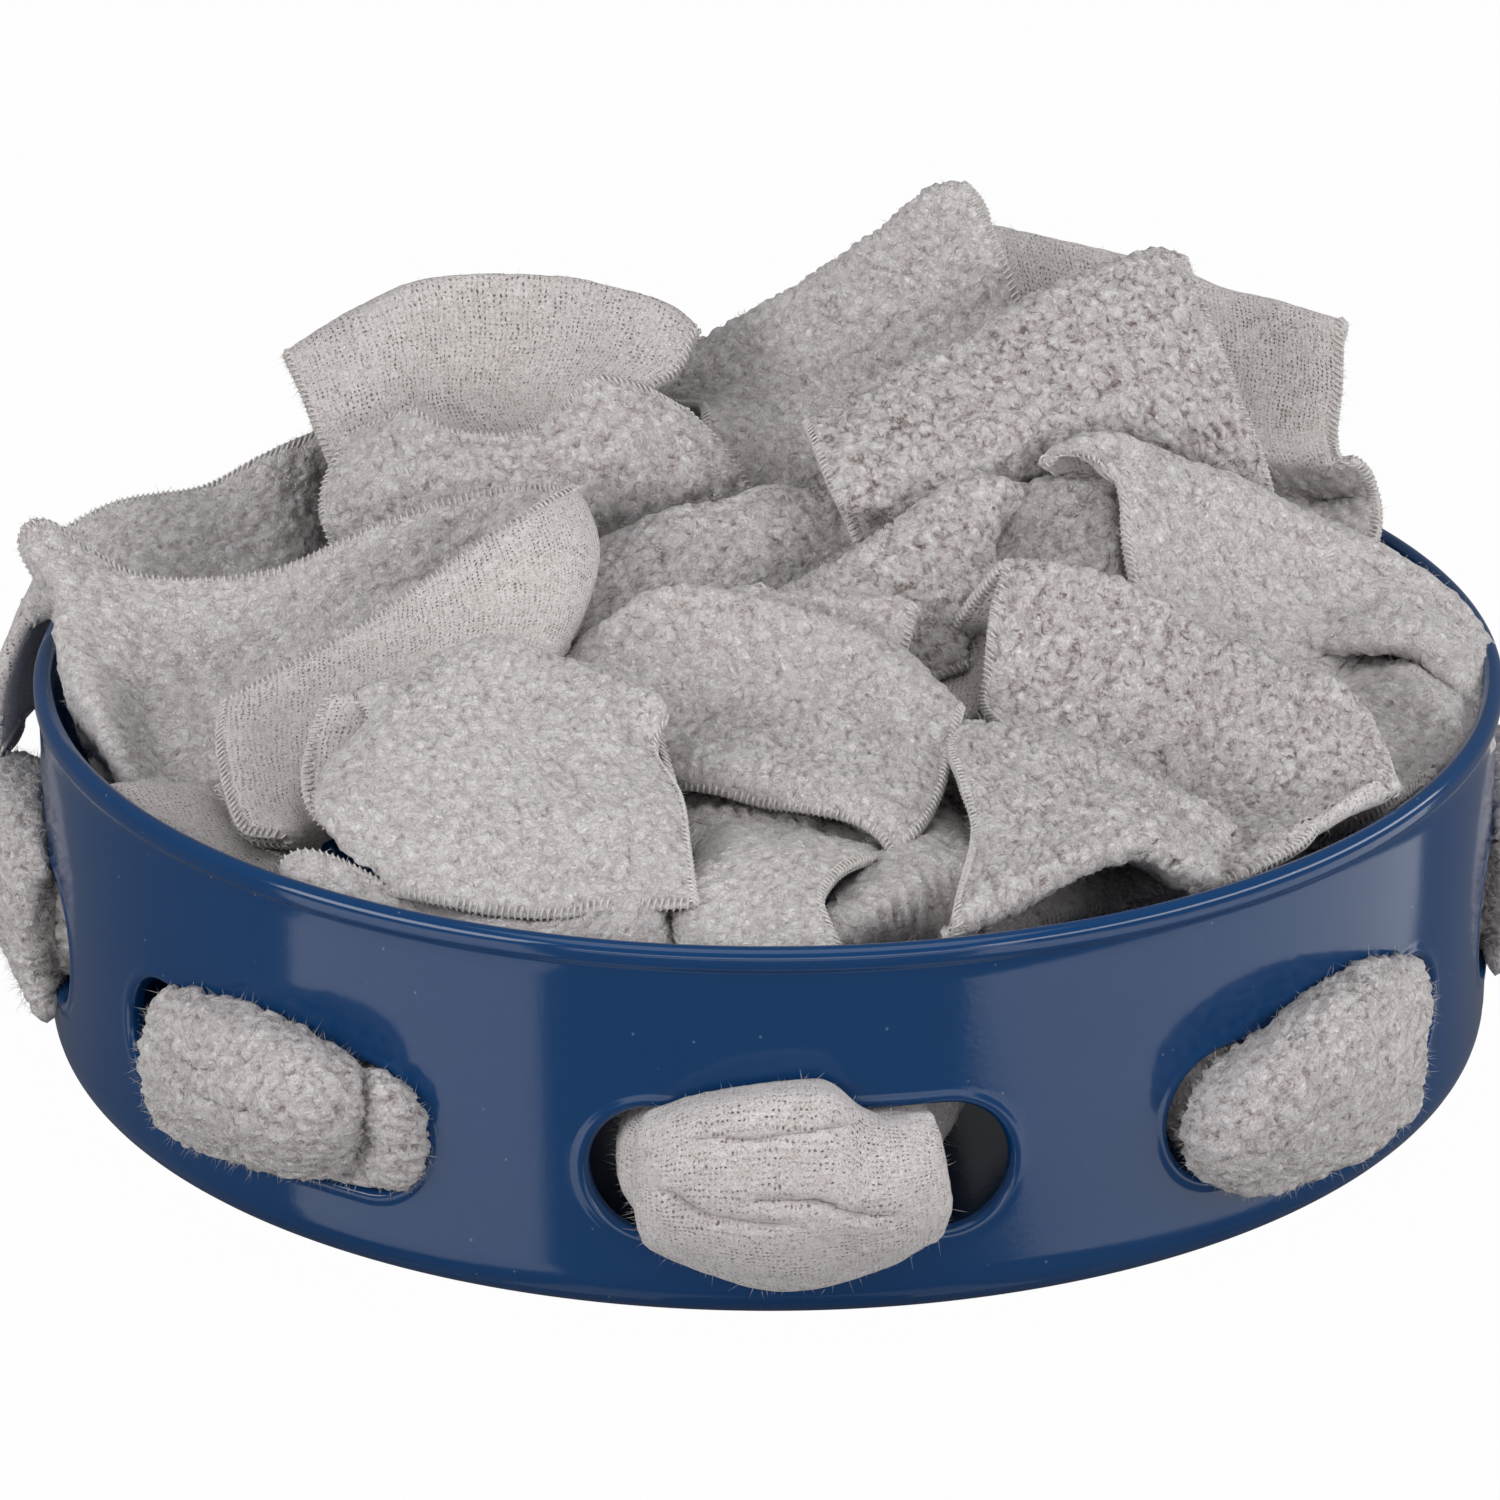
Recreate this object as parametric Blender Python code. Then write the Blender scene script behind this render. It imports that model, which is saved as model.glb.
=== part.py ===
# Snuffle bowl: a slotted feeding bowl with fleece strips threaded through its wall.
# Units are metres. +Z is up, the front of the bowl faces -Y, and the origin is on the
# surface it stands on, under the middle of the bowl.

import math

import bmesh
import bpy
import numpy as np

# Bowl body
RIM_RADIUS = 0.140
BOWL_HEIGHT = 0.075
WALL = 0.003
FLOOR = 0.003
WALL_DRAFT = 0.0008
FOOT_HEIGHT = 0.0024
FOOT_WIDTH = 0.018
CORNER_RADIUS = 0.008
INNER_CORNER_RADIUS = 0.006
LIP_HEIGHT = 0.0042
LIP_STEP = 0.0009
BOWL_SEGMENTS = 80

# Rubber grip ring pressed into a groove of the foot
GRIP_WIDTH = 0.008
GRIP_PROUD = 0.0006
GROOVE_INSET = 0.0022
GRIP_SEGMENTS = 64

# Threading slots
SLOT_COUNT = 8
FIRST_SLOT_ANGLE = math.radians(2.5)
SLOT_WIDTH = 0.078
SLOT_HEIGHT = 0.025
SLOT_CENTRE_HEIGHT = 0.0305
BAR_WIDTH = 0.011
HOLE_CORNER_RADIUS = 0.0025
HOLE_LIP = 0.0010
CUT_OVERRUN = 0.004

# Fleece strips
CLOTH = 0.003
SEAT_GAP = 0.0003
BUNDLE_WIDTH = 0.017
BUNDLE_HEIGHT = 0.0215
BUNDLE_SIDE_GAP = 0.0012
LOOP_HEIGHT = 0.040
LOOP_DEPTH = 0.0165
LOOP_OVERHANG = 0.0045
NECK_THICKNESS = 0.010
ACROSS_STEPS = 6

# The pile is laid out as sight marks. Every place has three shares of the rim radius:
# how far it lies to the right and how far it rises as seen along SIGHT_TILT from
# SIGHT_RANGE_SHARE rim radii away, and how far back it lies. Rungs run from the neck of a
# lobe to its free end, and each rung runs across the strip.
SIGHT_TILT = math.radians(22.0)
SIGHT_RANGE_SHARE = 12.0

FRONT_CORNER_SHARES = [
    [(0.10, -0.24, -0.08), (0.20, -0.24, -0.08)],
    [(0.04, -0.07, -0.02), (0.26, -0.05, 0.02)],
    [(0.03, 0.05, 0.01), (0.17, 0.13, 0.05), (0.28, 0.18, 0.07)],
    [(0.01, 0.07, -0.02), (0.14, 0.15, 0.01), (0.27, 0.23, 0.05)],
    [(0.04, 0.02, -0.07), (0.17, 0.07, -0.06), (0.30, 0.13, -0.01)],
    [(0.11, -0.04, -0.10), (0.17, -0.02, -0.10), (0.23, -0.02, -0.09)],
]

FRONT_FLAP_SHARES = [
    [(0.10, -0.45, -0.58), (0.21, -0.45, -0.58)],
    [(0.00, -0.27, -0.34), (0.22, -0.27, -0.34)],
    [(-0.17, -0.05, -0.19), (-0.01, -0.04, -0.20), (0.20, -0.05, -0.22)],
    [(-0.23, -0.01, -0.16), (-0.05, 0.07, -0.14), (0.07, 0.08, -0.15), (0.21, 0.05, -0.18)],
    [
        (-0.26, -0.02, -0.20), (-0.11, 0.06, -0.18), (0.07, 0.05, -0.22),
        (0.18, -0.02, -0.31), (0.26, -0.08, -0.40),
    ],
    [
        (-0.22, -0.12, -0.35), (-0.08, -0.08, -0.35), (0.04, -0.10, -0.41),
        (0.15, -0.12, -0.48), (0.24, -0.16, -0.52),
    ],
    [
        (-0.16, -0.19, -0.46), (-0.07, -0.20, -0.52), (0.03, -0.21, -0.58),
        (0.11, -0.23, -0.62), (0.18, -0.27, -0.66),
    ],
]

FRONT_RIGHT_FOLD_SHARES = [
    [(0.42, -0.46, -0.60), (0.50, -0.44, -0.54)],
    [(0.27, -0.33, -0.52), (0.43, -0.32, -0.50)],
    [(0.27, -0.15, -0.34), (0.40, -0.17, -0.39), (0.52, -0.22, -0.50)],
    [(0.26, -0.11, -0.40), (0.33, -0.11, -0.43), (0.43, -0.14, -0.48), (0.54, -0.19, -0.55)],
    [(0.27, -0.20, -0.56), (0.36, -0.20, -0.60), (0.45, -0.21, -0.64), (0.55, -0.25, -0.66)],
    [(0.30, -0.31, -0.76), (0.36, -0.28, -0.73), (0.44, -0.26, -0.71), (0.53, -0.27, -0.70)],
    [(0.25, -0.37, -0.90), (0.33, -0.34, -0.84), (0.42, -0.30, -0.77), (0.49, -0.27, -0.72)],
]

RIGHT_FRONT_FLAP_SHARES = [
    [(0.55, -0.39, -0.42), (0.63, -0.37, -0.38)],
    [(0.36, -0.18, -0.20), (0.73, -0.22, -0.30)],
    [(0.27, 0.02, -0.06), (0.45, 0.01, -0.09), (0.63, -0.06, -0.20), (0.82, -0.12, -0.30)],
    [
        (0.33, 0.14, -0.13), (0.45, 0.09, -0.16), (0.59, 0.02, -0.22),
        (0.73, -0.03, -0.30), (0.83, -0.08, -0.37),
    ],
    [
        (0.31, 0.03, -0.22), (0.44, -0.04, -0.26), (0.58, -0.08, -0.34),
        (0.71, -0.10, -0.40), (0.85, -0.12, -0.43),
    ],
    [
        (0.30, -0.08, -0.30), (0.43, -0.12, -0.33), (0.56, -0.19, -0.45),
        (0.70, -0.20, -0.52), (0.86, -0.16, -0.47),
    ],
    [
        (0.40, -0.17, -0.27), (0.48, -0.18, -0.30), (0.60, -0.31, -0.68),
        (0.71, -0.29, -0.68), (0.83, -0.20, -0.54),
    ],
]

MIDDLE_RIDGE_SHARES = [
    [(0.43, -0.24, 0.04), (0.43, -0.19, 0.14)],
    [(0.26, -0.13, 0.10), (0.23, -0.07, 0.26)],
    [(0.11, 0.11, 0.14), (0.11, 0.18, 0.18), (0.11, 0.21, 0.22), (0.12, 0.18, 0.26)],
    [(0.00, 0.07, 0.06), (0.00, 0.17, 0.11), (0.00, 0.22, 0.16), (0.00, 0.19, 0.21)],
    [(-0.12, 0.03, -0.06), (-0.13, 0.13, 0.04), (-0.13, 0.18, 0.10), (-0.12, 0.15, 0.16)],
    [(-0.23, -0.01, -0.12), (-0.24, 0.07, 0.00), (-0.25, 0.13, 0.07), (-0.24, 0.10, 0.12)],
]

RIGHT_FLAP_SHARES = [
    [(0.71, -0.14, 0.18), (0.73, -0.16, 0.08)],
    [(0.51, 0.01, 0.18), (0.85, -0.04, 0.12)],
    [(0.47, 0.26, 0.17), (0.69, 0.19, 0.18), (0.92, 0.07, 0.14)],
    [(0.45, 0.29, 0.11), (0.55, 0.27, 0.13), (0.69, 0.21, 0.14), (0.82, 0.14, 0.12), (0.93, 0.07, 0.08)],
    [(0.49, 0.21, 0.06), (0.60, 0.16, 0.07), (0.73, 0.10, 0.08), (0.85, 0.07, 0.05), (0.96, 0.02, 0.01)],
    [
        (0.50, 0.13, 0.00), (0.62, 0.06, 0.02), (0.73, 0.04, 0.05),
        (0.84, 0.00, 0.04), (0.95, -0.05, -0.06),
    ],
    [
        (0.52, 0.02, -0.05), (0.64, -0.01, -0.05), (0.75, -0.05, -0.04),
        (0.86, -0.07, -0.08), (0.93, -0.10, -0.15),
    ],
    [
        (0.58, -0.05, -0.08), (0.67, -0.08, -0.09), (0.78, -0.11, -0.12),
        (0.86, -0.13, -0.18), (0.91, -0.13, -0.22),
    ],
]

DIAGONAL_ROLL_SHARES = [
    [(0.50, -0.06, 0.42), (0.60, -0.05, 0.40)],
    [(0.29, 0.06, 0.26), (0.60, 0.03, 0.36)],
    [(0.14, 0.13, 0.10), (0.32, 0.13, 0.19), (0.49, 0.13, 0.24), (0.61, 0.18, 0.30)],
    [(0.10, 0.19, 0.12), (0.29, 0.24, 0.22), (0.47, 0.29, 0.30), (0.64, 0.31, 0.36)],
    [(0.06, 0.29, 0.25), (0.22, 0.36, 0.31), (0.43, 0.46, 0.37), (0.59, 0.48, 0.43)],
    [(0.05, 0.32, 0.25), (0.18, 0.38, 0.27), (0.34, 0.46, 0.32), (0.47, 0.52, 0.36), (0.56, 0.53, 0.39)],
    [(0.07, 0.26, 0.14), (0.21, 0.31, 0.17), (0.37, 0.37, 0.23), (0.49, 0.42, 0.28), (0.62, 0.41, 0.32)],
    [(0.11, 0.19, 0.06), (0.21, 0.20, 0.08), (0.37, 0.28, 0.16), (0.51, 0.29, 0.23), (0.69, 0.22, 0.27)],
]

BACK_RIGHT_BAND_SHARES = [
    [(0.38, 0.03, 0.62), (0.48, 0.00, 0.56)],
    [(0.38, 0.25, 0.72), (0.67, 0.19, 0.54)],
    [(0.30, 0.53, 0.66), (0.54, 0.48, 0.62), (0.78, 0.41, 0.54)],
    [(0.30, 0.58, 0.63), (0.45, 0.53, 0.60), (0.62, 0.49, 0.55), (0.78, 0.45, 0.50)],
    [(0.32, 0.48, 0.56), (0.47, 0.44, 0.53), (0.62, 0.41, 0.50), (0.78, 0.37, 0.46)],
    [(0.36, 0.37, 0.50), (0.48, 0.35, 0.48), (0.63, 0.32, 0.45), (0.77, 0.28, 0.42)],
    [(0.40, 0.29, 0.44), (0.51, 0.29, 0.44), (0.64, 0.27, 0.40), (0.79, 0.26, 0.36)],
    [(0.44, 0.24, 0.38), (0.54, 0.24, 0.38), (0.67, 0.25, 0.34), (0.83, 0.17, 0.33)],
]

BACK_PEAK_SHARES = [
    [(0.05, 0.03, 0.70), (0.13, 0.05, 0.68)],
    [(0.06, 0.29, 0.76), (0.27, 0.30, 0.68)],
    [(-0.13, 0.35, 0.67), (0.07, 0.44, 0.67), (0.30, 0.56, 0.60)],
    [(-0.17, 0.35, 0.63), (-0.04, 0.45, 0.62), (0.11, 0.53, 0.58), (0.27, 0.63, 0.54)],
    [(-0.13, 0.33, 0.57), (0.00, 0.38, 0.54), (0.15, 0.47, 0.52), (0.32, 0.54, 0.50)],
    [(-0.09, 0.33, 0.48), (0.03, 0.34, 0.48), (0.18, 0.39, 0.47), (0.36, 0.46, 0.47)],
    [(-0.09, 0.28, 0.38), (0.02, 0.28, 0.38), (0.18, 0.29, 0.41), (0.37, 0.35, 0.43)],
    [(-0.07, 0.21, 0.32), (0.03, 0.21, 0.32), (0.17, 0.24, 0.38), (0.36, 0.28, 0.39)],
]

BACK_LEFT_ARCH_SHARES = [
    [(-0.25, 0.01, 0.66), (-0.15, 0.05, 0.70)],
    [(-0.44, 0.17, 0.64), (-0.23, 0.18, 0.58)],
    [(-0.64, 0.38, 0.50), (-0.32, 0.44, 0.59), (-0.13, 0.39, 0.49)],
    [(-0.66, 0.41, 0.45), (-0.47, 0.49, 0.50), (-0.28, 0.50, 0.53), (-0.11, 0.44, 0.47)],
    [(-0.64, 0.35, 0.40), (-0.46, 0.42, 0.46), (-0.31, 0.41, 0.46), (-0.14, 0.39, 0.42)],
    [(-0.61, 0.28, 0.36), (-0.46, 0.34, 0.41), (-0.32, 0.33, 0.40), (-0.19, 0.35, 0.38)],
    [(-0.58, 0.21, 0.34), (-0.45, 0.26, 0.35), (-0.31, 0.26, 0.35), (-0.22, 0.26, 0.35)],
]

MIDDLE_WAVE_SHARES = [
    [(-0.45, -0.11, 0.22), (-0.33, -0.11, 0.22)],
    [(-0.55, -0.01, 0.20), (-0.16, 0.03, 0.24)],
    [(-0.60, 0.17, 0.20), (-0.43, 0.13, 0.14), (-0.24, 0.11, 0.20), (-0.04, 0.20, 0.26)],
    [(-0.60, 0.23, 0.25), (-0.43, 0.21, 0.17), (-0.23, 0.21, 0.20), (-0.02, 0.22, 0.27)],
    [(-0.58, 0.28, 0.29), (-0.43, 0.26, 0.20), (-0.24, 0.29, 0.21), (-0.06, 0.28, 0.29)],
    [
        (-0.56, 0.31, 0.32), (-0.49, 0.34, 0.27), (-0.37, 0.29, 0.23),
        (-0.25, 0.37, 0.26), (-0.11, 0.33, 0.30),
    ],
]

LEFT_BACK_BAND_SHARES = [
    [(-0.57, 0.01, 0.54), (-0.67, -0.03, 0.50)],
    [(-0.58, 0.18, 0.58), (-0.67, 0.07, 0.52)],
    [(-0.61, 0.28, 0.51), (-0.62, 0.21, 0.49), (-0.62, 0.13, 0.45)],
    [(-0.64, 0.29, 0.46), (-0.64, 0.22, 0.41), (-0.64, 0.10, 0.32)],
    [(-0.77, 0.24, 0.42), (-0.77, 0.18, 0.36), (-0.75, 0.07, 0.25)],
    [(-0.88, 0.21, 0.35), (-0.88, 0.16, 0.28), (-0.84, 0.07, 0.17)],
    [(-0.95, 0.17, 0.31), (-0.93, 0.13, 0.25), (-0.90, 0.08, 0.16)],
    [(-0.96, 0.16, 0.33), (-0.99, 0.08, 0.16)],
    [(-0.99, 0.06, 0.32), (-1.04, -0.03, 0.12)],
    [(-0.99, -0.05, 0.34), (-1.05, -0.13, 0.08)],
]

LEFT_LONG_FLAP_SHARES = [
    [(-0.69, -0.19, 0.06), (-0.70, -0.25, -0.08)],
    [(-0.88, -0.08, -0.01), (-0.87, -0.21, -0.23)],
    [
        (-1.01, 0.16, 0.06), (-0.95, 0.07, -0.02), (-0.96, -0.02, -0.12),
        (-0.92, -0.09, -0.24), (-0.88, -0.17, -0.33),
    ],
    [(-0.84, 0.10, 0.04), (-0.84, 0.01, -0.05), (-0.83, -0.08, -0.15), (-0.80, -0.17, -0.27)],
    [(-0.68, 0.10, 0.02), (-0.68, 0.01, -0.06), (-0.67, -0.08, -0.17), (-0.67, -0.17, -0.30)],
    [(-0.50, 0.17, 0.05), (-0.50, 0.07, -0.01), (-0.50, -0.02, -0.11), (-0.50, -0.12, -0.24)],
    [(-0.37, 0.22, 0.08), (-0.37, 0.13, 0.03), (-0.37, 0.03, -0.06), (-0.37, -0.06, -0.18)],
    [(-0.28, 0.23, 0.03), (-0.25, 0.15, -0.04), (-0.26, 0.07, -0.12), (-0.29, 0.00, -0.20)],
    [(-0.32, 0.19, -0.08), (-0.30, 0.10, -0.15), (-0.31, 0.02, -0.24), (-0.34, -0.05, -0.33)],
    [(-0.45, 0.12, -0.14), (-0.43, 0.03, -0.22), (-0.45, -0.05, -0.30), (-0.46, -0.13, -0.38)],
    [(-0.60, 0.03, -0.23), (-0.60, -0.06, -0.31), (-0.60, -0.14, -0.39), (-0.58, -0.22, -0.46)],
    [(-0.74, -0.06, -0.33), (-0.75, -0.13, -0.41), (-0.73, -0.20, -0.48), (-0.69, -0.26, -0.56)],
]

LEFT_LOW_FOLD_SHARES = [
    [(-0.73, -0.36, -0.32), (-0.67, -0.29, -0.22)],
    [(-0.76, -0.28, -0.38), (-0.61, -0.23, -0.28)],
    [(-0.84, -0.20, -0.42), (-0.72, -0.19, -0.36)],
    [(-0.80, -0.23, -0.46), (-0.70, -0.25, -0.42)],
    [(-0.77, -0.27, -0.52), (-0.67, -0.29, -0.48)],
    [(-0.74, -0.31, -0.56), (-0.65, -0.32, -0.53)],
]

FRONT_WALL_BAND_SHARES = [
    [(-0.60, -0.38, -0.42), (-0.53, -0.41, -0.49)],
    [(-0.69, -0.34, -0.60), (-0.59, -0.32, -0.60)],
    [(-0.58, -0.34, -0.76), (-0.58, -0.29, -0.67)],
    [(-0.46, -0.42, -0.84), (-0.46, -0.37, -0.72)],
    [(-0.23, -0.45, -0.90), (-0.23, -0.40, -0.78)],
    [(-0.07, -0.42, -0.91), (-0.07, -0.36, -0.82), (-0.06, -0.31, -0.72)],
    [(0.10, -0.40, -0.90), (0.06, -0.34, -0.80), (0.09, -0.29, -0.70)],
]

FRONT_LEFT_FOLD_SHARES = [
    [(-0.44, -0.45, -0.58), (-0.35, -0.47, -0.62)],
    [(-0.50, -0.35, -0.52), (-0.25, -0.36, -0.56)],
    [(-0.54, -0.14, -0.46), (-0.37, -0.06, -0.36), (-0.23, -0.10, -0.40), (-0.11, -0.20, -0.52)],
    [
        (-0.58, -0.15, -0.52), (-0.50, -0.04, -0.44), (-0.37, 0.01, -0.36),
        (-0.24, -0.04, -0.40), (-0.15, -0.08, -0.48),
    ],
    [
        (-0.59, -0.20, -0.62), (-0.49, -0.14, -0.60), (-0.35, -0.12, -0.56),
        (-0.23, -0.13, -0.58), (-0.14, -0.18, -0.63),
    ],
    [
        (-0.59, -0.25, -0.70), (-0.46, -0.27, -0.74), (-0.34, -0.27, -0.76),
        (-0.22, -0.27, -0.78), (-0.11, -0.27, -0.75),
    ],
    [
        (-0.50, -0.33, -0.78), (-0.42, -0.35, -0.82), (-0.34, -0.36, -0.85),
        (-0.23, -0.34, -0.87), (-0.10, -0.34, -0.86),
    ],
]

# Name, and the lobe on each side of the bar.
STRIPS = [
    ("strip_front", FRONT_CORNER_SHARES, FRONT_FLAP_SHARES),
    ("strip_front_right", FRONT_RIGHT_FOLD_SHARES, RIGHT_FRONT_FLAP_SHARES),
    ("strip_right", MIDDLE_RIDGE_SHARES, RIGHT_FLAP_SHARES),
    ("strip_back_right", DIAGONAL_ROLL_SHARES, BACK_RIGHT_BAND_SHARES),
    ("strip_back", BACK_PEAK_SHARES, BACK_LEFT_ARCH_SHARES),
    ("strip_back_left", MIDDLE_WAVE_SHARES, LEFT_BACK_BAND_SHARES),
    ("strip_left", LEFT_LONG_FLAP_SHARES, LEFT_LOW_FOLD_SHARES),
    ("strip_front_left", FRONT_WALL_BAND_SHARES, FRONT_LEFT_FOLD_SHARES),
]


def sight_place(across, rise, back):
    """Place of a sight mark, given in shares of the rim radius."""
    c, s = math.cos(SIGHT_TILT), math.sin(SIGHT_TILT)
    reach = (back + SIGHT_RANGE_SHARE * c) / (SIGHT_RANGE_SHARE * c + rise * s)
    lift = SIGHT_RANGE_SHARE * s + reach * (rise * c - SIGHT_RANGE_SHARE * s)
    return np.array([
        RIM_RADIUS * reach * across,
        RIM_RADIUS * back,
        BOWL_HEIGHT + RIM_RADIUS * lift,
    ])


def polar_place(angle, arc, radius, height):
    """Place on a cylinder: arc is measured along the wall from the given angle."""
    turn = angle + arc / RIM_RADIUS
    return np.array([radius * math.sin(turn), -radius * math.cos(turn), height])


def wall_outer(height):
    """Outer radius of the drafted wall at a height."""
    top = BOWL_HEIGHT - LIP_HEIGHT
    return RIM_RADIUS - LIP_STEP - WALL_DRAFT * (top - height) / top


def clear_scene():
    for item in list(bpy.data.objects):
        bpy.data.objects.remove(item, do_unlink=True)


def make_material(name, colour, roughness, metallic=0.0):
    material = bpy.data.materials.new(name)
    material.use_nodes = True
    shader = material.node_tree.nodes["Principled BSDF"]
    shader.inputs["Base Color"].default_value = (*colour, 1.0)
    shader.inputs["Roughness"].default_value = roughness
    shader.inputs["Metallic"].default_value = metallic
    return material


def add_object(name, mesh, material=None):
    item = bpy.data.objects.new(name, mesh)
    bpy.context.scene.collection.objects.link(item)
    if material:
        mesh.materials.append(material)
    return item


def spin_profile(name, profile, steps):
    """Turn an (r, z) outline about the Z axis into a closed mesh."""
    shape = bmesh.new()
    points = [shape.verts.new((r, 0.0, z)) for r, z in profile]
    pairs = list(zip(points, points[1:]))
    if profile[0][0] > 0.0:
        pairs.append((points[-1], points[0]))
    edges = [shape.edges.new(pair) for pair in pairs]
    bmesh.ops.spin(
        shape, geom=points + edges, cent=(0.0, 0.0, 0.0), axis=(0.0, 0.0, 1.0),
        angle=math.tau, steps=steps, use_merge=True,
    )
    bmesh.ops.remove_doubles(shape, verts=shape.verts, dist=SEAT_GAP / 10)
    bmesh.ops.recalc_face_normals(shape, faces=shape.faces)
    mesh = bpy.data.meshes.new(name)
    shape.to_mesh(mesh)
    shape.free()
    return mesh


def arc_points(centre_r, centre_z, radius, start, end, count):
    """Points of an arc in the (r, z) plane, its angles in degrees."""
    return [
        (centre_r + radius * math.cos(math.radians(a)), centre_z + radius * math.sin(math.radians(a)))
        for a in np.linspace(start, end, count)
    ]


def make_bowl(material):
    base = wall_outer(0.0)
    foot = GRIP_PROUD
    under = foot + FOOT_HEIGHT
    floor_top = under + FLOOR
    flat_edge = base - CORNER_RADIUS
    foot_inner = flat_edge - FOOT_WIDTH
    groove_inner = foot_inner + GROOVE_INSET
    groove_outer = groove_inner + GRIP_WIDTH + 2 * SEAT_GAP
    lip_base = BOWL_HEIGHT - LIP_HEIGHT
    lip_radius = (LIP_STEP + WALL) / 2
    lip_middle = RIM_RADIUS - lip_radius
    inner_wall = base - WALL
    profile = [(0.0, under), (foot_inner - FOOT_HEIGHT / 4, under), (foot_inner, foot)]
    profile += [(groove_inner, foot), (groove_inner, under)]
    profile += [(groove_outer, under), (groove_outer, foot)]
    profile += arc_points(flat_edge, foot + CORNER_RADIUS, CORNER_RADIUS, -90, 0, 6)
    profile += [(wall_outer(lip_base - LIP_STEP / 2), lip_base - LIP_STEP / 2)]
    profile += [(RIM_RADIUS, lip_base + LIP_STEP / 2)]
    profile += arc_points(lip_middle, BOWL_HEIGHT - lip_radius, lip_radius, 0, 180, 7)
    profile += arc_points(
        inner_wall - INNER_CORNER_RADIUS, floor_top + INNER_CORNER_RADIUS,
        INNER_CORNER_RADIUS, 0, -90, 5,
    )
    profile += [(0.0, floor_top)]
    bowl = add_object("bowl", spin_profile("bowl", profile, BOWL_SEGMENTS), material)
    cut = bowl.modifiers.new("threading slots", "BOOLEAN")
    cut.operation = "DIFFERENCE"
    cut.solver = "EXACT"
    cut.object = make_slot_cutters()
    bowl.data.shade_smooth()
    bowl.data.set_sharp_from_angle(angle=math.radians(35))
    return bowl


def hole_outline():
    """Outline (arc, height) of one hole: a D with its straight side along the bar."""
    half = SLOT_HEIGHT / 2
    near = BAR_WIDTH / 2
    round_centre = SLOT_WIDTH / 2 - half
    corner = near + HOLE_CORNER_RADIUS
    rise = half - HOLE_CORNER_RADIUS
    middle = (corner + round_centre) / 2
    outline = arc_points(corner, -rise, HOLE_CORNER_RADIUS, 180, 270, 3)
    outline += [(middle, -half)]
    outline += arc_points(round_centre, 0.0, half, -90, 90, 9)
    outline += [(middle, half)]
    outline += arc_points(corner, rise, HOLE_CORNER_RADIUS, 90, 180, 3)
    return outline


def make_slot_cutters():
    """All the holes as one cutter: each flares out to a rounded lip at the wall's face."""
    outline = np.array(hole_outline())
    after = np.roll(outline, -1, axis=0) - outline
    before = outline - np.roll(outline, 1, axis=0)
    along = after / np.linalg.norm(after, axis=1)[:, None]
    along += before / np.linalg.norm(before, axis=1)[:, None]
    along /= np.linalg.norm(along, axis=1)[:, None]
    outward = np.stack([along[:, 1], -along[:, 0]], axis=1)
    face = wall_outer(SLOT_CENTRE_HEIGHT)
    layers = [
        (face - WALL - CUT_OVERRUN, 0.0),
        (face - HOLE_LIP, 0.0),
        (face - HOLE_LIP * 0.3, HOLE_LIP * 0.3),
        (face + CUT_OVERRUN, HOLE_LIP + CUT_OVERRUN),
    ]
    shape = bmesh.new()
    for slot in range(SLOT_COUNT):
        angle = FIRST_SLOT_ANGLE + math.tau * slot / SLOT_COUNT
        for side in (-1, 1):
            rings = []
            for radius, grow in layers:
                places = outline + outward * grow
                ring = [
                    shape.verts.new(polar_place(angle, side * s, radius, SLOT_CENTRE_HEIGHT + h))
                    for s, h in places
                ]
                rings.append(ring)
            if side < 0:
                rings = [ring[::-1] for ring in rings]
            for low, high in zip(rings, rings[1:]):
                for k in range(len(low)):
                    n = (k + 1) % len(low)
                    shape.faces.new((low[k], low[n], high[n], high[k]))
            shape.faces.new(rings[0][::-1])
            shape.faces.new(rings[-1])
    mesh = bpy.data.meshes.new("slot_cutters")
    shape.to_mesh(mesh)
    shape.free()
    cutters = add_object("slot_cutters", mesh)
    cutters.hide_render = True
    cutters.display_type = "WIRE"
    return cutters


def make_grip_ring(material):
    inner = wall_outer(0.0) - CORNER_RADIUS - FOOT_WIDTH + GROOVE_INSET + SEAT_GAP
    outer = inner + GRIP_WIDTH
    top = GRIP_PROUD + FOOT_HEIGHT - SEAT_GAP
    ease = GRIP_PROUD / 2
    profile = [
        (inner, ease), (inner + ease, 0.0), (outer - ease, 0.0),
        (outer, ease), (outer, top), (inner, top),
    ]
    ring = add_object("grip_ring", spin_profile("grip_ring", profile, GRIP_SEGMENTS), material)
    ring.data.shade_smooth()
    ring.data.set_sharp_from_angle(angle=math.radians(35))
    return ring


def spline(values, steps):
    """Smooth curve through rows of values, with the given steps in each span."""
    rows = np.asarray(values, dtype=float)
    padded = np.concatenate([[2 * rows[0] - rows[1]], rows, [2 * rows[-1] - rows[-2]]])
    result = []
    for k in range(len(rows) - 1):
        p0, p1, p2, p3 = padded[k:k + 4]
        for t in np.arange(steps) / steps:
            result.append(0.5 * (
                2 * p1 + (p2 - p0) * t + (2 * p0 - 5 * p1 + 4 * p2 - p3) * t * t
                + (3 * p1 - p0 - 3 * p2 + p3) * t ** 3
            ))
    result.append(rows[-1])
    return np.array(result)


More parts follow.
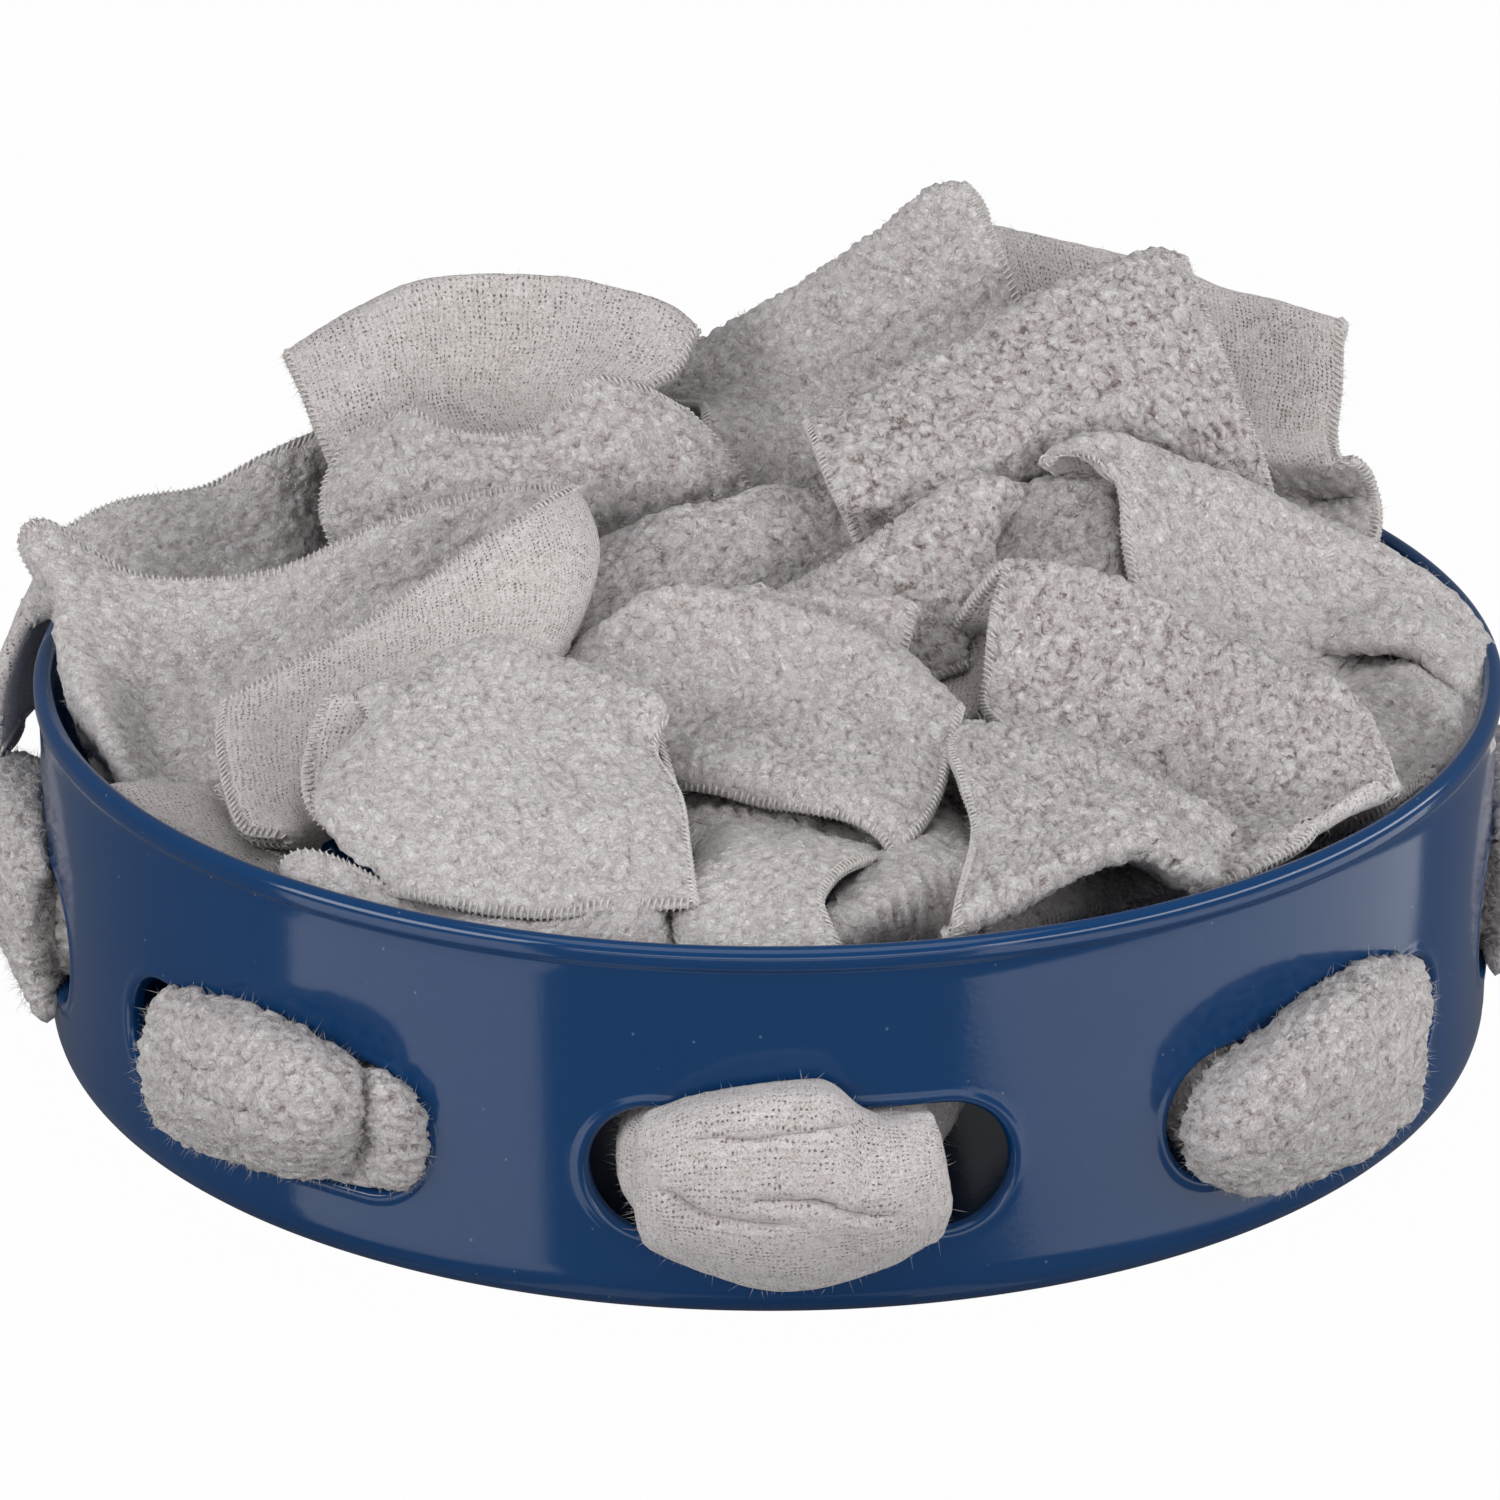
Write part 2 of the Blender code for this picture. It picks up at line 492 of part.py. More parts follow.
def even_rung(places, count):
    """A rung's places joined by a smooth curve and shared out evenly along it."""
    curve = spline(places, 8)
    lengths = np.linalg.norm(np.diff(curve, axis=0), axis=1)
    travelled = np.concatenate([[0.0], np.cumsum(lengths)])
    wanted = np.linspace(0.0, travelled[-1], count)
    return np.stack([np.interp(wanted, travelled, curve[:, k]) for k in range(3)], axis=1)


def lobe_rungs(lobe_shares):
    """Rungs of one lobe, from its neck to its free end, each with its half thickness."""
    rungs = []
    for number, marks in enumerate(lobe_shares):
        places = [sight_place(*mark) for mark in marks]
        thickness = NECK_THICKNESS if number == 0 else CLOTH * (1.6 if number == 1 else 1.0)
        rungs.append((even_rung(places, ACROSS_STEPS + 1), thickness / 2, 1.0 if number == 0 else 0.0))
    return rungs


def loop_rungs(angle):
    """Rungs of the bundle that goes out through one hole, over the bar and in again."""
    near = BAR_WIDTH / 2 + BUNDLE_SIDE_GAP
    far = near + BUNDLE_WIDTH
    face = wall_outer(SLOT_CENTRE_HEIGHT + SLOT_HEIGHT)
    seat = face + SEAT_GAP
    inside = face - WALL
    held = BUNDLE_HEIGHT / 2
    full = LOOP_HEIGHT / 2
    half_way = (held + full) / 2
    bar_edge = BAR_WIDTH / 2
    outline = [
        (near, inside - WALL * 3, far, inside - WALL * 3, held * 0.94),
        (near, inside, far, inside, held),
        (near, face - WALL / 2, far, face - WALL / 2, held),
        (bar_edge * 1.14, seat + SEAT_GAP * 2, far + LOOP_OVERHANG * 0.7, seat + LOOP_DEPTH * 0.16,
         held * 1.1),
        (bar_edge * 1.0, seat + SEAT_GAP * 2, far + LOOP_OVERHANG, seat + LOOP_DEPTH * 0.52,
         half_way * 1.05),
        (bar_edge * 0.76, seat + SEAT_GAP, far - LOOP_OVERHANG * 0.2, seat + LOOP_DEPTH * 0.90,
         full * 0.96),
        (bar_edge * 0.38, seat, far * 0.45, seat + LOOP_DEPTH, full),
        (0.0, seat, 0.0, seat + LOOP_DEPTH * 0.97, full * 0.98),
    ]
    sections = [(-a, ra, -b, rb, h) for a, ra, b, rb, h in outline]
    sections += [(a, ra, b, rb, h) for a, ra, b, rb, h in outline[-2::-1]]
    rungs = []
    for a, ra, b, rb, half in sections:
        inner = polar_place(angle, a, ra, SLOT_CENTRE_HEIGHT)
        outer = polar_place(angle, b, rb, SLOT_CENTRE_HEIGHT)
        middle = (inner + outer) / 2
        across = np.linspace(-half, half, ACROSS_STEPS + 1)
        places = middle + np.outer(across, (0.0, 0.0, 1.0))
        rungs.append((places, (outer - inner) / 2))
    return rungs


def strip_sections(angle, minus_shares, plus_shares):
    """Closed sections along a whole strip, from one free end to the other."""
    minus = lobe_rungs(minus_shares)
    plus = lobe_rungs(plus_shares)
    loop = loop_rungs(angle)
    sheets, halves, rounds, sides = [], [], [], []
    for places, half, roundness in reversed(minus):
        sheets.append(places)
        halves.append(half)
        rounds.append(roundness)
        sides.append(None)
    for places, side in loop:
        sheets.append(places)
        halves.append(np.linalg.norm(side))
        rounds.append(1.0)
        sides.append(side)
    for places, half, roundness in plus:
        sheets.append(places)
        halves.append(half)
        rounds.append(roundness)
        sides.append(None)
    return sheets, halves, rounds, sides


def make_strip(name, slot, minus_shares, plus_shares, material):
    angle = FIRST_SLOT_ANGLE + math.tau * slot / SLOT_COUNT
    sheets, halves, rounds, sides = strip_sections(angle, minus_shares, plus_shares)
    steps = 2
    grid = spline(np.array(sheets).reshape(len(sheets), -1), steps)
    grid = grid.reshape(len(grid), ACROSS_STEPS + 1, 3)
    keys = np.arange(len(sheets)) * steps
    at = np.arange(len(grid))
    half = np.interp(at, keys, halves)
    roundness = np.interp(at, keys, rounds)
    tangents = np.gradient(grid, axis=0)
    across = np.gradient(grid, axis=1)
    normals = np.cross(tangents, across)
    normals /= np.linalg.norm(normals, axis=2)[:, :, None]
    side_rows = []
    for k, side in enumerate(sides):
        if side is not None:
            side_rows.append((k, side / np.linalg.norm(side)))
    first, last = side_rows[0][0], side_rows[-1][0]
    loop_side = spline(np.array([row for _, row in side_rows]), steps)
    loop_side /= np.linalg.norm(loop_side, axis=1)[:, None]
    normals[first * steps:last * steps + 1] = loop_side[:, None, :]
    keep = [k for k in range(len(grid)) if k % 2 == 0 or not first * steps <= k <= last * steps]
    phase = np.pi * np.arange(ACROSS_STEPS + 1) / ACROSS_STEPS
    ease = 0.72
    round_share = 0.5 - 0.5 * np.sign(np.cos(phase)) * np.abs(np.cos(phase)) ** ease
    round_height = np.abs(np.sin(phase)) ** ease
    flat_share = np.arange(ACROSS_STEPS + 1) / ACROSS_STEPS
    flat_height = np.where((flat_share > 0) & (flat_share < 1), 1.0, 0.0)
    shape = bmesh.new()
    rings = []
    for k in keep:
        share = flat_share + (round_share - flat_share) * roundness[k]
        height = flat_height + (round_height - flat_height) * roundness[k]
        row = np.stack([np.interp(share, flat_share, grid[k][:, n]) for n in range(3)], axis=1)
        lift = normals[k] * (half[k] * height)[:, None]
        upper = row + lift
        lower = row - lift
        ring = list(upper) + list(lower[-2:0:-1])
        rings.append([shape.verts.new(place) for place in ring])
    for low, high in zip(rings, rings[1:]):
        for k in range(len(low)):
            n = (k + 1) % len(low)
            shape.faces.new((low[k], low[n], high[n], high[k]))
    for ring in (rings[0], rings[-1]):
        for k in range(ACROSS_STEPS):
            if k == 0:
                shape.faces.new((ring[0], ring[1], ring[-1]))
            elif k == ACROSS_STEPS - 1:
                shape.faces.new((ring[k], ring[k + 1], ring[k + 2]))
            else:
                shape.faces.new((ring[k], ring[k + 1], ring[-k - 1], ring[-k]))
    bmesh.ops.recalc_face_normals(shape, faces=shape.faces)
    mesh = bpy.data.meshes.new(name)
    shape.to_mesh(mesh)
    shape.free()
    strip = add_object(name, mesh, material)
    mesh.shade_smooth()
    return strip


def main():
    clear_scene()
    plastic = make_material("navy_plastic", (0.010, 0.048, 0.162), 0.28)
    rubber = make_material("grip_rubber", (0.020, 0.022, 0.026), 0.75)
    fleece = make_material("fleece", (0.58, 0.54, 0.52), 0.95)
    make_bowl(plastic)
    make_grip_ring(rubber)
    for slot, (name, minus_shares, plus_shares) in enumerate(STRIPS):
        make_strip(name, slot, minus_shares, plus_shares, fleece)


if __name__ == "__main__":
    main()
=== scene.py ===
import bmesh
import bpy
import numpy as np
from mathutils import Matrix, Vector


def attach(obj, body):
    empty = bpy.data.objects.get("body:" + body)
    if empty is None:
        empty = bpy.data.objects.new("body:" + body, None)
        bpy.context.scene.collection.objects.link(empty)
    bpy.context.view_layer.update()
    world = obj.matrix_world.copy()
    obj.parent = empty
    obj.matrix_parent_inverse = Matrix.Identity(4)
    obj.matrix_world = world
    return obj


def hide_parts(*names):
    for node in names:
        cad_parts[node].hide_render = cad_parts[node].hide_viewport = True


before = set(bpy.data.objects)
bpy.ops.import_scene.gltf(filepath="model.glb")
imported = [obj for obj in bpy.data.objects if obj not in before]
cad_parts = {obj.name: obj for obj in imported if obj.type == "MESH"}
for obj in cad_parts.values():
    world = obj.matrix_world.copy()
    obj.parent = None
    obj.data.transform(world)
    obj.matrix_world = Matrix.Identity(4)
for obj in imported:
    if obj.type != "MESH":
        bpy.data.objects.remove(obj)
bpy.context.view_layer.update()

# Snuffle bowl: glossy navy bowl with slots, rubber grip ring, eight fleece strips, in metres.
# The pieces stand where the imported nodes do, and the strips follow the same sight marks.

scene = bpy.context.scene

bowlShape = {
    "rimRadius": 0.140, "height": 0.075, "wall": 0.003, "floor": 0.003, "draft": 0.0008,
    "footLift": 0.0006, "footHeight": 0.0024, "footWidth": 0.018, "grooveInset": 0.0022,
    "grooveWidth": 0.0086, "corner": 0.008, "innerCorner": 0.006, "lipHeight": 0.0042,
    "lipStep": 0.0009, "footEase": 0.0003, "turns": 448,
}
slotShape = {
    "count": 8, "firstAngle": 2.5, "width": 0.078, "height": 0.025, "middle": 0.0305,
    "bar": 0.011, "corner": 0.0025, "rounding": 0.0015, "bead": 0.00025,
    "beadReach": 2.2, "inside": 0.0007,
    "low": 0.0125, "high": 0.0485, "across": 28, "up": 16,
    "rings": {"wall": 9, "bead": 6, "round": 7, "inside": 4, "back": 7},
}
# curls and wobbles are layers of (weight, size, seed step)
clothShape = {
    "width": 0.080, "half": 0.00145, "edgeHalf": 0.00050, "edgeEase": 0.0035,
    "columns": 97, "rows": 416, "curlDepth": 0.0012, "curlMiddle": 0.45, "curlGain": 1.5,
    "curls": ((0.68, 0.0031, 0), (0.32, 0.0031 * 0.46, 3)), "wobble": 0.0012, "edgeWobble": 1.1,
    "wobbles": ((1.0, 0.024, 0), (0.45, 0.024 * 0.42, 5)),
    "waveSize": 0.0016, "waveDepth": 0.00012, "loopCurly": 0.7, "toneSize": 0.03, "leastWidth": 0.068,
    "leastTurn": 0.002, "turnRadius": 0.0024, "bendPoints": 9, "markSteps": 16, "layerPoints": 25,
    "rowSteps": 14, "rimOut": 0.8, "napSharp": 0.8, "toneSeed": 41,
}


# ---- camera: where the picture of the real bowl was taken from; "far" is its range in rim radii,
# the middle and the radius are those of the rim in the 1500 px picture
photoView = {
    "tilt": 22.0, "range": 1.68, "far": 12.0, "target": (-0.0034, -0.0069, 0.058),
    "lens": 211.13, "sensor": 36.0, "clip": (0.05, 60.0),
    "middleX": 767.7, "middleY": 654.0, "radiusPx": 733.0,
}


def standPoint():
    tilt, away = np.radians(photoView["tilt"]), photoView["range"]
    return Vector((0.0, -away * np.cos(tilt), bowlShape["height"] + away * np.sin(tilt)))


def makeCamera():
    place = standPoint()
    data = bpy.data.cameras.new("photoCamera")
    data.lens, data.sensor_width = photoView["lens"], photoView["sensor"]
    data.clip_start, data.clip_end = photoView["clip"]
    camera = bpy.data.objects.new("photoCamera", data)
    camera.location = place
    camera.rotation_euler = (Vector(photoView["target"]) - place).to_track_quat("-Z", "Y").to_euler()
    scene.collection.objects.link(camera)
    scene.camera = camera


makeCamera()
print("camera set")


# ---- shader helpers
def addNode(tree, kind, inputs=None, **settings):
    item = tree.nodes.new(kind)
    for key, value in settings.items():
        setattr(item, key, value)
    for key, value in (inputs or {}).items():
        socket = item.inputs[key]
        if isinstance(value, bpy.types.NodeSocket):
            tree.links.new(value, socket)
        else:
            socket.default_value = value
    return item


def sumNode(tree, operation, first, second=None, third=None, clamp=False):
    inputs = {k: value for k, value in enumerate((first, second, third)) if value is not None}
    return addNode(tree, "ShaderNodeMath", inputs, operation=operation, use_clamp=clamp).outputs[0]


def gained(tree, value, gain, plus, clamp=False):
    # value * gain + plus
    return sumNode(tree, "MULTIPLY_ADD", value, gain, plus, clamp)


def rampNode(tree, value, stops):
    item = addNode(tree, "ShaderNodeValToRGB", {"Fac": value})
    ramp = item.color_ramp
    while len(ramp.elements) < len(stops):
        ramp.elements.new(0.5)
    for element, (at, colour) in zip(ramp.elements, stops):
        element.position = at
        element.color = (*colour, 1.0) if len(colour) == 3 else colour
    return item.outputs["Color"]


def blendNode(tree, factor, first, second, mode="MIX"):
    item = addNode(tree, "ShaderNodeMix", data_type="RGBA", blend_type=mode)
    for socket, value in ((item.inputs[0], factor), (item.inputs[6], first), (item.inputs[7], second)):
        if isinstance(value, bpy.types.NodeSocket):
            tree.links.new(value, socket)
        else:
            socket.default_value = value
    return item.outputs[2]


def noiseNode(tree, vector, scale, detail=2.0, roughness=0.5, distortion=0.0):
    return addNode(tree, "ShaderNodeTexNoise", {
        "Vector": vector, "Scale": scale, "Detail": detail, "Roughness": roughness,
        "Distortion": distortion}).outputs["Fac"]


def newGroup(name, inputs, outputs):
    # each table names its sockets and says what kind they are
    group = bpy.data.node_groups.new(name, "ShaderNodeTree")
    for direction, sockets in (("INPUT", inputs), ("OUTPUT", outputs)):
        for label, kind in sockets.items():
            group.interface.new_socket(label, in_out=direction, socket_type="NodeSocket" + kind)
    return group, group.nodes.new("NodeGroupInput"), group.nodes.new("NodeGroupOutput")


def closedGroup(group, go, values):
    for label, value in values.items():
        group.links.new(value, go.inputs[label])
    return group


def newMaterial(name, settings=None):
    material = bpy.data.materials.new(name)
    material.use_nodes = True
    tree = material.node_tree
    shader = tree.nodes["Principled BSDF"]
    for label, value in (settings or {}).items():
        shader.inputs[label].default_value = value
    return material, tree, shader, addNode(tree, "ShaderNodeTexCoord").outputs["Object"]


def dressShader(tree, shader, colour, height=None, strength=0.0, distance=0.0):
    tree.links.new(colour, shader.inputs["Base Color"])
    if height is not None:
        bump = addNode(tree, "ShaderNodeBump", {"Height": height, "Strength": strength, "Distance": distance})
        tree.links.new(bump.outputs[0], shader.inputs["Normal"])


def swayedNode(tree, place, scale, reach, over, roughness=0.5):
    # over + reach * the three values of a noise
    noise = addNode(tree, "ShaderNodeTexNoise", {
        "Vector": place, "Scale": scale, "Detail": 2.0, "Roughness": roughness})
    return addNode(tree, "ShaderNodeVectorMath", {0: noise.outputs["Color"], 1: reach, 2: over},
                   operation="MULTIPLY_ADD").outputs[0]


def tintedNode(tree, tone, colour, tint):
    # the slow change of tone over the pieces takes the colour part of the way to the tint
    return blendNode(tree, sumNode(tree, "MULTIPLY", tone, 0.6), colour, tint, "MULTIPLY")


# fine uneven marks from moulding, handling and dust: broad smudges, hair scratches, specks
def surfaceMarksGroup():
    group, come, go = newGroup(
        "surfaceMarks", {"Vector": "Vector", "Smudge size": "Float", "Speck size": "Float"},
        {"Smudge": "Float", "Scratch": "Float", "Speck": "Float", "Peel": "Float"})
    black, white, hairStretch = (0, 0, 0), (1, 1, 1), (30.0, 30.0, 900.0)
    place = come.outputs["Vector"]
    hairs = addNode(group, "ShaderNodeVectorMath", {0: place, 1: hairStretch}, operation="MULTIPLY")
    lines = noiseNode(group, hairs.outputs[0], 1.0, roughness=0.6, distortion=0.6)
    cells = addNode(group, "ShaderNodeTexVoronoi", {
        "Vector": place, "Scale": come.outputs["Speck size"]}, feature="F1")
    return closedGroup(group, go, {
        "Smudge": noiseNode(group, place, come.outputs["Smudge size"], detail=3.0, roughness=0.6),
        "Scratch": rampNode(group, lines, [(0.66, black), (0.72, white)]),
        "Speck": rampNode(group, cells.outputs["Distance"], [(0.03, white), (0.055, black)]),
        "Peel": noiseNode(group, place, 900.0, roughness=0.45)})


# curly pile: short crevices round the curls, darker in the colour as painted shade and sunk in the
# bumps, fine strands over them; the colour is also painted darker low between the tufts as shade;
# "Curly" sets how deep the crevices are
pileLook = {
    "swaySize": 420.0, "sway": (0.0042, 0.0042, 0.0042), "curls": 270.0, "creviceWidth": 5.0, "breaks": 520.0,
    # the colours run from the painted shade of the crevices and tuft hollows up to the tufts' tops, painted
    # lighter
    "colours": [
        (0.00, (0.190, 0.143, 0.133)), (0.26, (0.430, 0.368, 0.352)), (0.50, (0.665, 0.610, 0.596)),
        (0.74, (0.810, 0.772, 0.762)), (1.00, (0.915, 0.895, 0.892))],
    "tint": (0.905, 0.888, 0.915, 1.0),
}


def curlyPileGroup():
    p = pileLook
    group, come, go = newGroup(
        "curlyPile", {"Curl": "Float", "Curly": "Float", "Tone": "Float", "Vector": "Vector"},
        {"Color": "Color", "Height": "Float"})
    place = come.outputs["Vector"]
    warped = swayedNode(group, place, p["swaySize"], p["sway"], place, roughness=0.6)
    cells = addNode(group, "ShaderNodeTexVoronoi", {"Vector": warped, "Scale": p["curls"]},
                    feature="DISTANCE_TO_EDGE").outputs["Distance"]
    edge = sumNode(group, "SUBTRACT", 1.0, sumNode(group, "MULTIPLY", cells, p["creviceWidth"], clamp=True))
    broken = gained(group, noiseNode(group, place, p["breaks"], detail=1.0), 3.0, -1.0, clamp=True)
    creviceShadeAndDip = sumNode(group, "MULTIPLY", sumNode(group, "MULTIPLY", edge, broken), come.outputs["Curly"])
    strands = noiseNode(group, warped, 1350.0, detail=3.0, roughness=0.66, distortion=1.6)
    clumps = noiseNode(group, warped, 620.0, detail=1.0, distortion=0.8)
    depth = gained(group, strands, 1.70, gained(group, clumps, 0.90, -0.84))
    # painted shade: the lower a point lies between the tufts, the darker its colour
    depth = gained(group, come.outputs["Curl"], 0.36, depth)
    # painted shade: darker in the crevices round the curls, in the colour as well as in the bumps
    depth = gained(group, creviceShadeAndDip, -0.56, depth)
    colour = rampNode(group, depth, p["colours"])
    return closedGroup(group, go, {
        "Color": tintedNode(group, come.outputs["Tone"], colour, p["tint"]),
        "Height": gained(group, clumps, 1.1, gained(group, creviceShadeAndDip, -0.7, strands))})


# jersey back: columns of stitches with small dark openings, partly under fibres; the wale and the
# course are the stitches' width and height in the centimetres of the cloth's map
knitLook = {
    "wale": 0.104, "course": 0.092, "fullTurn": 6.2832, "swaySize": 360.0, "sway": (0.16, 0.16, 0.0),
    "colours": [
        (0.02, (0.210, 0.165, 0.150)), (0.26, (0.450, 0.395, 0.376)), (0.50, (0.690, 0.640, 0.618)),
        (0.74, (0.810, 0.775, 0.760)), (1.00, (0.890, 0.868, 0.860))],
    "tint": (0.885, 0.865, 0.895, 1.0),
}


def knitFaceGroup():
    k = knitLook
    group, come, go = newGroup("knitFace", {"Map": "Vector", "Vector": "Vector", "Tone": "Float"},
                               {"Color": "Color", "Height": "Float"})
    place = come.outputs["Vector"]
    shaken = swayedNode(group, place, k["swaySize"], k["sway"], come.outputs["Map"])
    parts = addNode(group, "ShaderNodeSeparateXYZ", {0: shaken}).outputs
    # the openings are short dashes that stand in columns: 1.6 (cos wale + 0.6 cos course) - 1.2
    wave, courses = (
        sumNode(group, "COSINE", sumNode(group, "MULTIPLY", part, k["fullTurn"] / k[stitch]))
        for part, stitch in ((parts[0], "wale"), (parts[1], "course")))
    opening = gained(group, gained(group, courses, 0.6, wave), 1.6, -1.2, clamp=True)
    strands = noiseNode(group, place, 1500.0, detail=3.0, roughness=0.65, distortion=2.0)
    clumps = noiseNode(group, place, 480.0, roughness=0.6, distortion=1.2)
    clear = gained(group, noiseNode(group, place, 170.0, detail=3.0, roughness=0.6), 4.4, -1.75, clamp=True)
    gap = sumNode(group, "MULTIPLY", opening, gained(group, clear, 0.75, 0.25))
    # fibres cross many of the openings
    bare = gained(group, noiseNode(group, place, 760.0, detail=1.0), 4.5, -1.75, clamp=True)
    gap = sumNode(group, "MULTIPLY", gap, bare)
    depth = gained(group, strands, 2.10, gained(group, clumps, 0.55, -0.71))
    depth = gained(group, gap, -0.84, depth)
    depth = gained(group, gained(group, wave, 0.5, 0.5), -0.04, depth)
    colour = rampNode(group, depth, k["colours"])
    return closedGroup(group, go, {
        "Color": tintedNode(group, come.outputs["Tone"], colour, k["tint"]),
        "Height": gained(group, strands, 0.6, sumNode(group, "MULTIPLY", gap, -0.9))})


# the lip colour is a paler navy painted on the top of the rim as a painted highlight, from a set height up
navyLook = {
    "base": ((0.0019, 0.0355, 0.1250, 1.0), (0.0028, 0.0430, 0.1430, 1.0)), "lip": (0.008, 0.068, 0.205, 1.0),
    "paintedHighlightFrom": 0.0735, "paintedHighlightRise": 180.0, "dust": (0.34, 0.38, 0.44, 1.0),
}


def navyPlastic(marks):
    n = navyLook
    material, tree, shader, place = newMaterial("navyPlastic", {"IOR": 1.5})
    high = addNode(tree, "ShaderNodeSeparateXYZ", {0: place}).outputs[2]
    seen = addNode(tree, "ShaderNodeGroup", {"Vector": place, "Smudge size": 22.0, "Speck size": 160.0},
                   node_tree=marks).outputs
    base = blendNode(tree, seen["Smudge"], *n["base"])
    # painted highlight: the colour turns to a paler navy along the top of the rim
    lip = sumNode(tree, "SUBTRACT", high, n["paintedHighlightFrom"], clamp=True)
    base = blendNode(tree, sumNode(tree, "MULTIPLY", lip, n["paintedHighlightRise"], clamp=True), base, n["lip"])
    base = blendNode(tree, sumNode(tree, "MULTIPLY", seen["Speck"], 0.30), base, n["dust"])
    rough = gained(tree, seen["Scratch"], 0.07, gained(tree, seen["Smudge"], 0.05, 0.085))
    tree.links.new(rough, shader.inputs["Roughness"])
    dressShader(tree, shader, base, gained(tree, seen["Scratch"], -0.25, seen["Peel"]),
                strength=0.05, distance=0.0002)
    return material


def gripRubber(marks):
    material, tree, shader, place = newMaterial("gripRubber")
    seen = addNode(tree, "ShaderNodeGroup", {"Vector": place, "Smudge size": 60.0, "Speck size": 240.0},
                   node_tree=marks).outputs
    base = blendNode(tree, seen["Smudge"], (0.016, 0.018, 0.021, 1.0), (0.034, 0.036, 0.040, 1.0))
    base = blendNode(tree, seen["Speck"], base, (0.20, 0.20, 0.20, 1.0))
    tree.links.new(gained(tree, seen["Smudge"], 0.2, 0.62), shader.inputs["Roughness"])
    dressShader(tree, shader, base, seen["Peel"], strength=0.35, distance=0.0003)
    return material


def fleeceCloth(pile, knit):
    # the curls' face and the knitted face, blended by the nap of each point
    material, tree, shader, place = newMaterial("fleeceCloth", {
        "Roughness": 0.95, "Specular IOR Level": 0.15, "Sheen Weight": 0.55, "Sheen Roughness": 0.45,
        "Sheen Tint": (0.93, 0.91, 0.93, 1.0)})
    cloth = addNode(tree, "ShaderNodeUVMap", uv_map="clothMap").outputs[0]
    # curl is the tufts' height and curly the woolliness; the pile group paints shade with both
    curl, nap, tone, curly = (addNode(tree, "ShaderNodeAttribute", attribute_name=name).outputs["Fac"]
                              for name in ("curl", "nap", "tone", "curly"))
    pelt = addNode(tree, "ShaderNodeGroup", {"Curl": curl, "Curly": curly, "Tone": tone, "Vector": place},
                   node_tree=pile).outputs
    flat = addNode(tree, "ShaderNodeGroup", {"Map": cloth, "Tone": tone, "Vector": place},
                   node_tree=knit).outputs
    colour = blendNode(tree, nap, flat["Color"], pelt["Color"])
    height = addNode(tree, "ShaderNodeMix", {0: nap, 2: flat["Height"], 3: pelt["Height"]}).outputs[0]
    dressShader(tree, shader, colour, height, strength=0.90, distance=0.00070)
    return material


def hemThread():
    material, tree, shader, place = newMaterial("hemThread", {"Roughness": 0.7, "Sheen Weight": 0.2})
    twist = noiseNode(tree, place, 1800.0, distortion=0.8)
    colour = rampNode(tree, twist, [(0.30, (0.50, 0.46, 0.44)), (0.62, (0.76, 0.735, 0.715))])
    dressShader(tree, shader, colour, twist, strength=0.5, distance=0.0001)
    return material


def fuzzFibre():
    material, tree, shader, place = newMaterial("fuzzFibre", {"Roughness": 0.9, "Specular IOR Level": 0.1})
    shade = noiseNode(tree, place, 300.0)
    dressShader(tree, shader, rampNode(tree, shade, [(0.3, (0.56, 0.525, 0.505)), (0.7, (0.74, 0.71, 0.69))]))
    return material


marksGroup = surfaceMarksGroup()
navyFinish = navyPlastic(marksGroup)
rubberFinish = gripRubber(marksGroup)
fleeceFinish = fleeceCloth(curlyPileGroup(), knitFaceGroup())
threadFinish = hemThread()
fuzzFinish = fuzzFibre()
print("finishes made")


# ---- mesh helpers
def makePiece(name, points, quads, finish, triangles=None):
    mesh = bpy.data.meshes.new(name)
    quads = np.asarray(quads, np.int32).reshape(-1, 4)
    triangles = np.zeros((0, 3), np.int32) if triangles is None else np.asarray(triangles, np.int32)
    corners = np.concatenate([quads.ravel(), triangles.ravel()])
    starts = np.concatenate([np.arange(len(quads)) * 4, len(quads) * 4 + np.arange(len(triangles)) * 3])
    mesh.vertices.add(len(points))
    mesh.vertices.foreach_set("co", np.asarray(points, np.float32).ravel())
    mesh.loops.add(len(corners))
    mesh.loops.foreach_set("vertex_index", corners)
    mesh.polygons.add(len(starts))
    mesh.polygons.foreach_set("loop_start", starts.astype(np.int32))
    mesh.update(calc_edges=True)
    mesh.validate()
    mesh.shade_smooth()
    mesh.materials.append(finish)
    piece = bpy.data.objects.new(name, mesh)
    scene.collection.objects.link(piece)
    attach(piece, "root")
    return piece


def setValues(piece, name, values):
    layer = piece.data.attributes.new(name, "FLOAT", "POINT")
    layer.data.foreach_set("value", np.asarray(values, np.float32))


def mergedPoints(points, quads, step=2e-6):
    # points that share a place, to the given step, become one point; a face that loses an edge
    # by it becomes a triangle, one that loses two goes
    keys = np.round(points / step).astype(np.int64)
    _, first, back = np.unique(keys, axis=0, return_index=True, return_inverse=True)
    quads = back.reshape(-1)[quads]
    flat = np.sort(quads, axis=1)
    twice = (flat[:, 1:] == flat[:, :-1]).sum(axis=1)
    whole = quads[twice == 0]
    thin = quads[twice == 1]
    triangles = [[k for n, k in enumerate(face) if k != face[n - 1]] for face in thin.tolist()]
    return points[first], whole, np.array(triangles, np.int32).reshape(-1, 3)


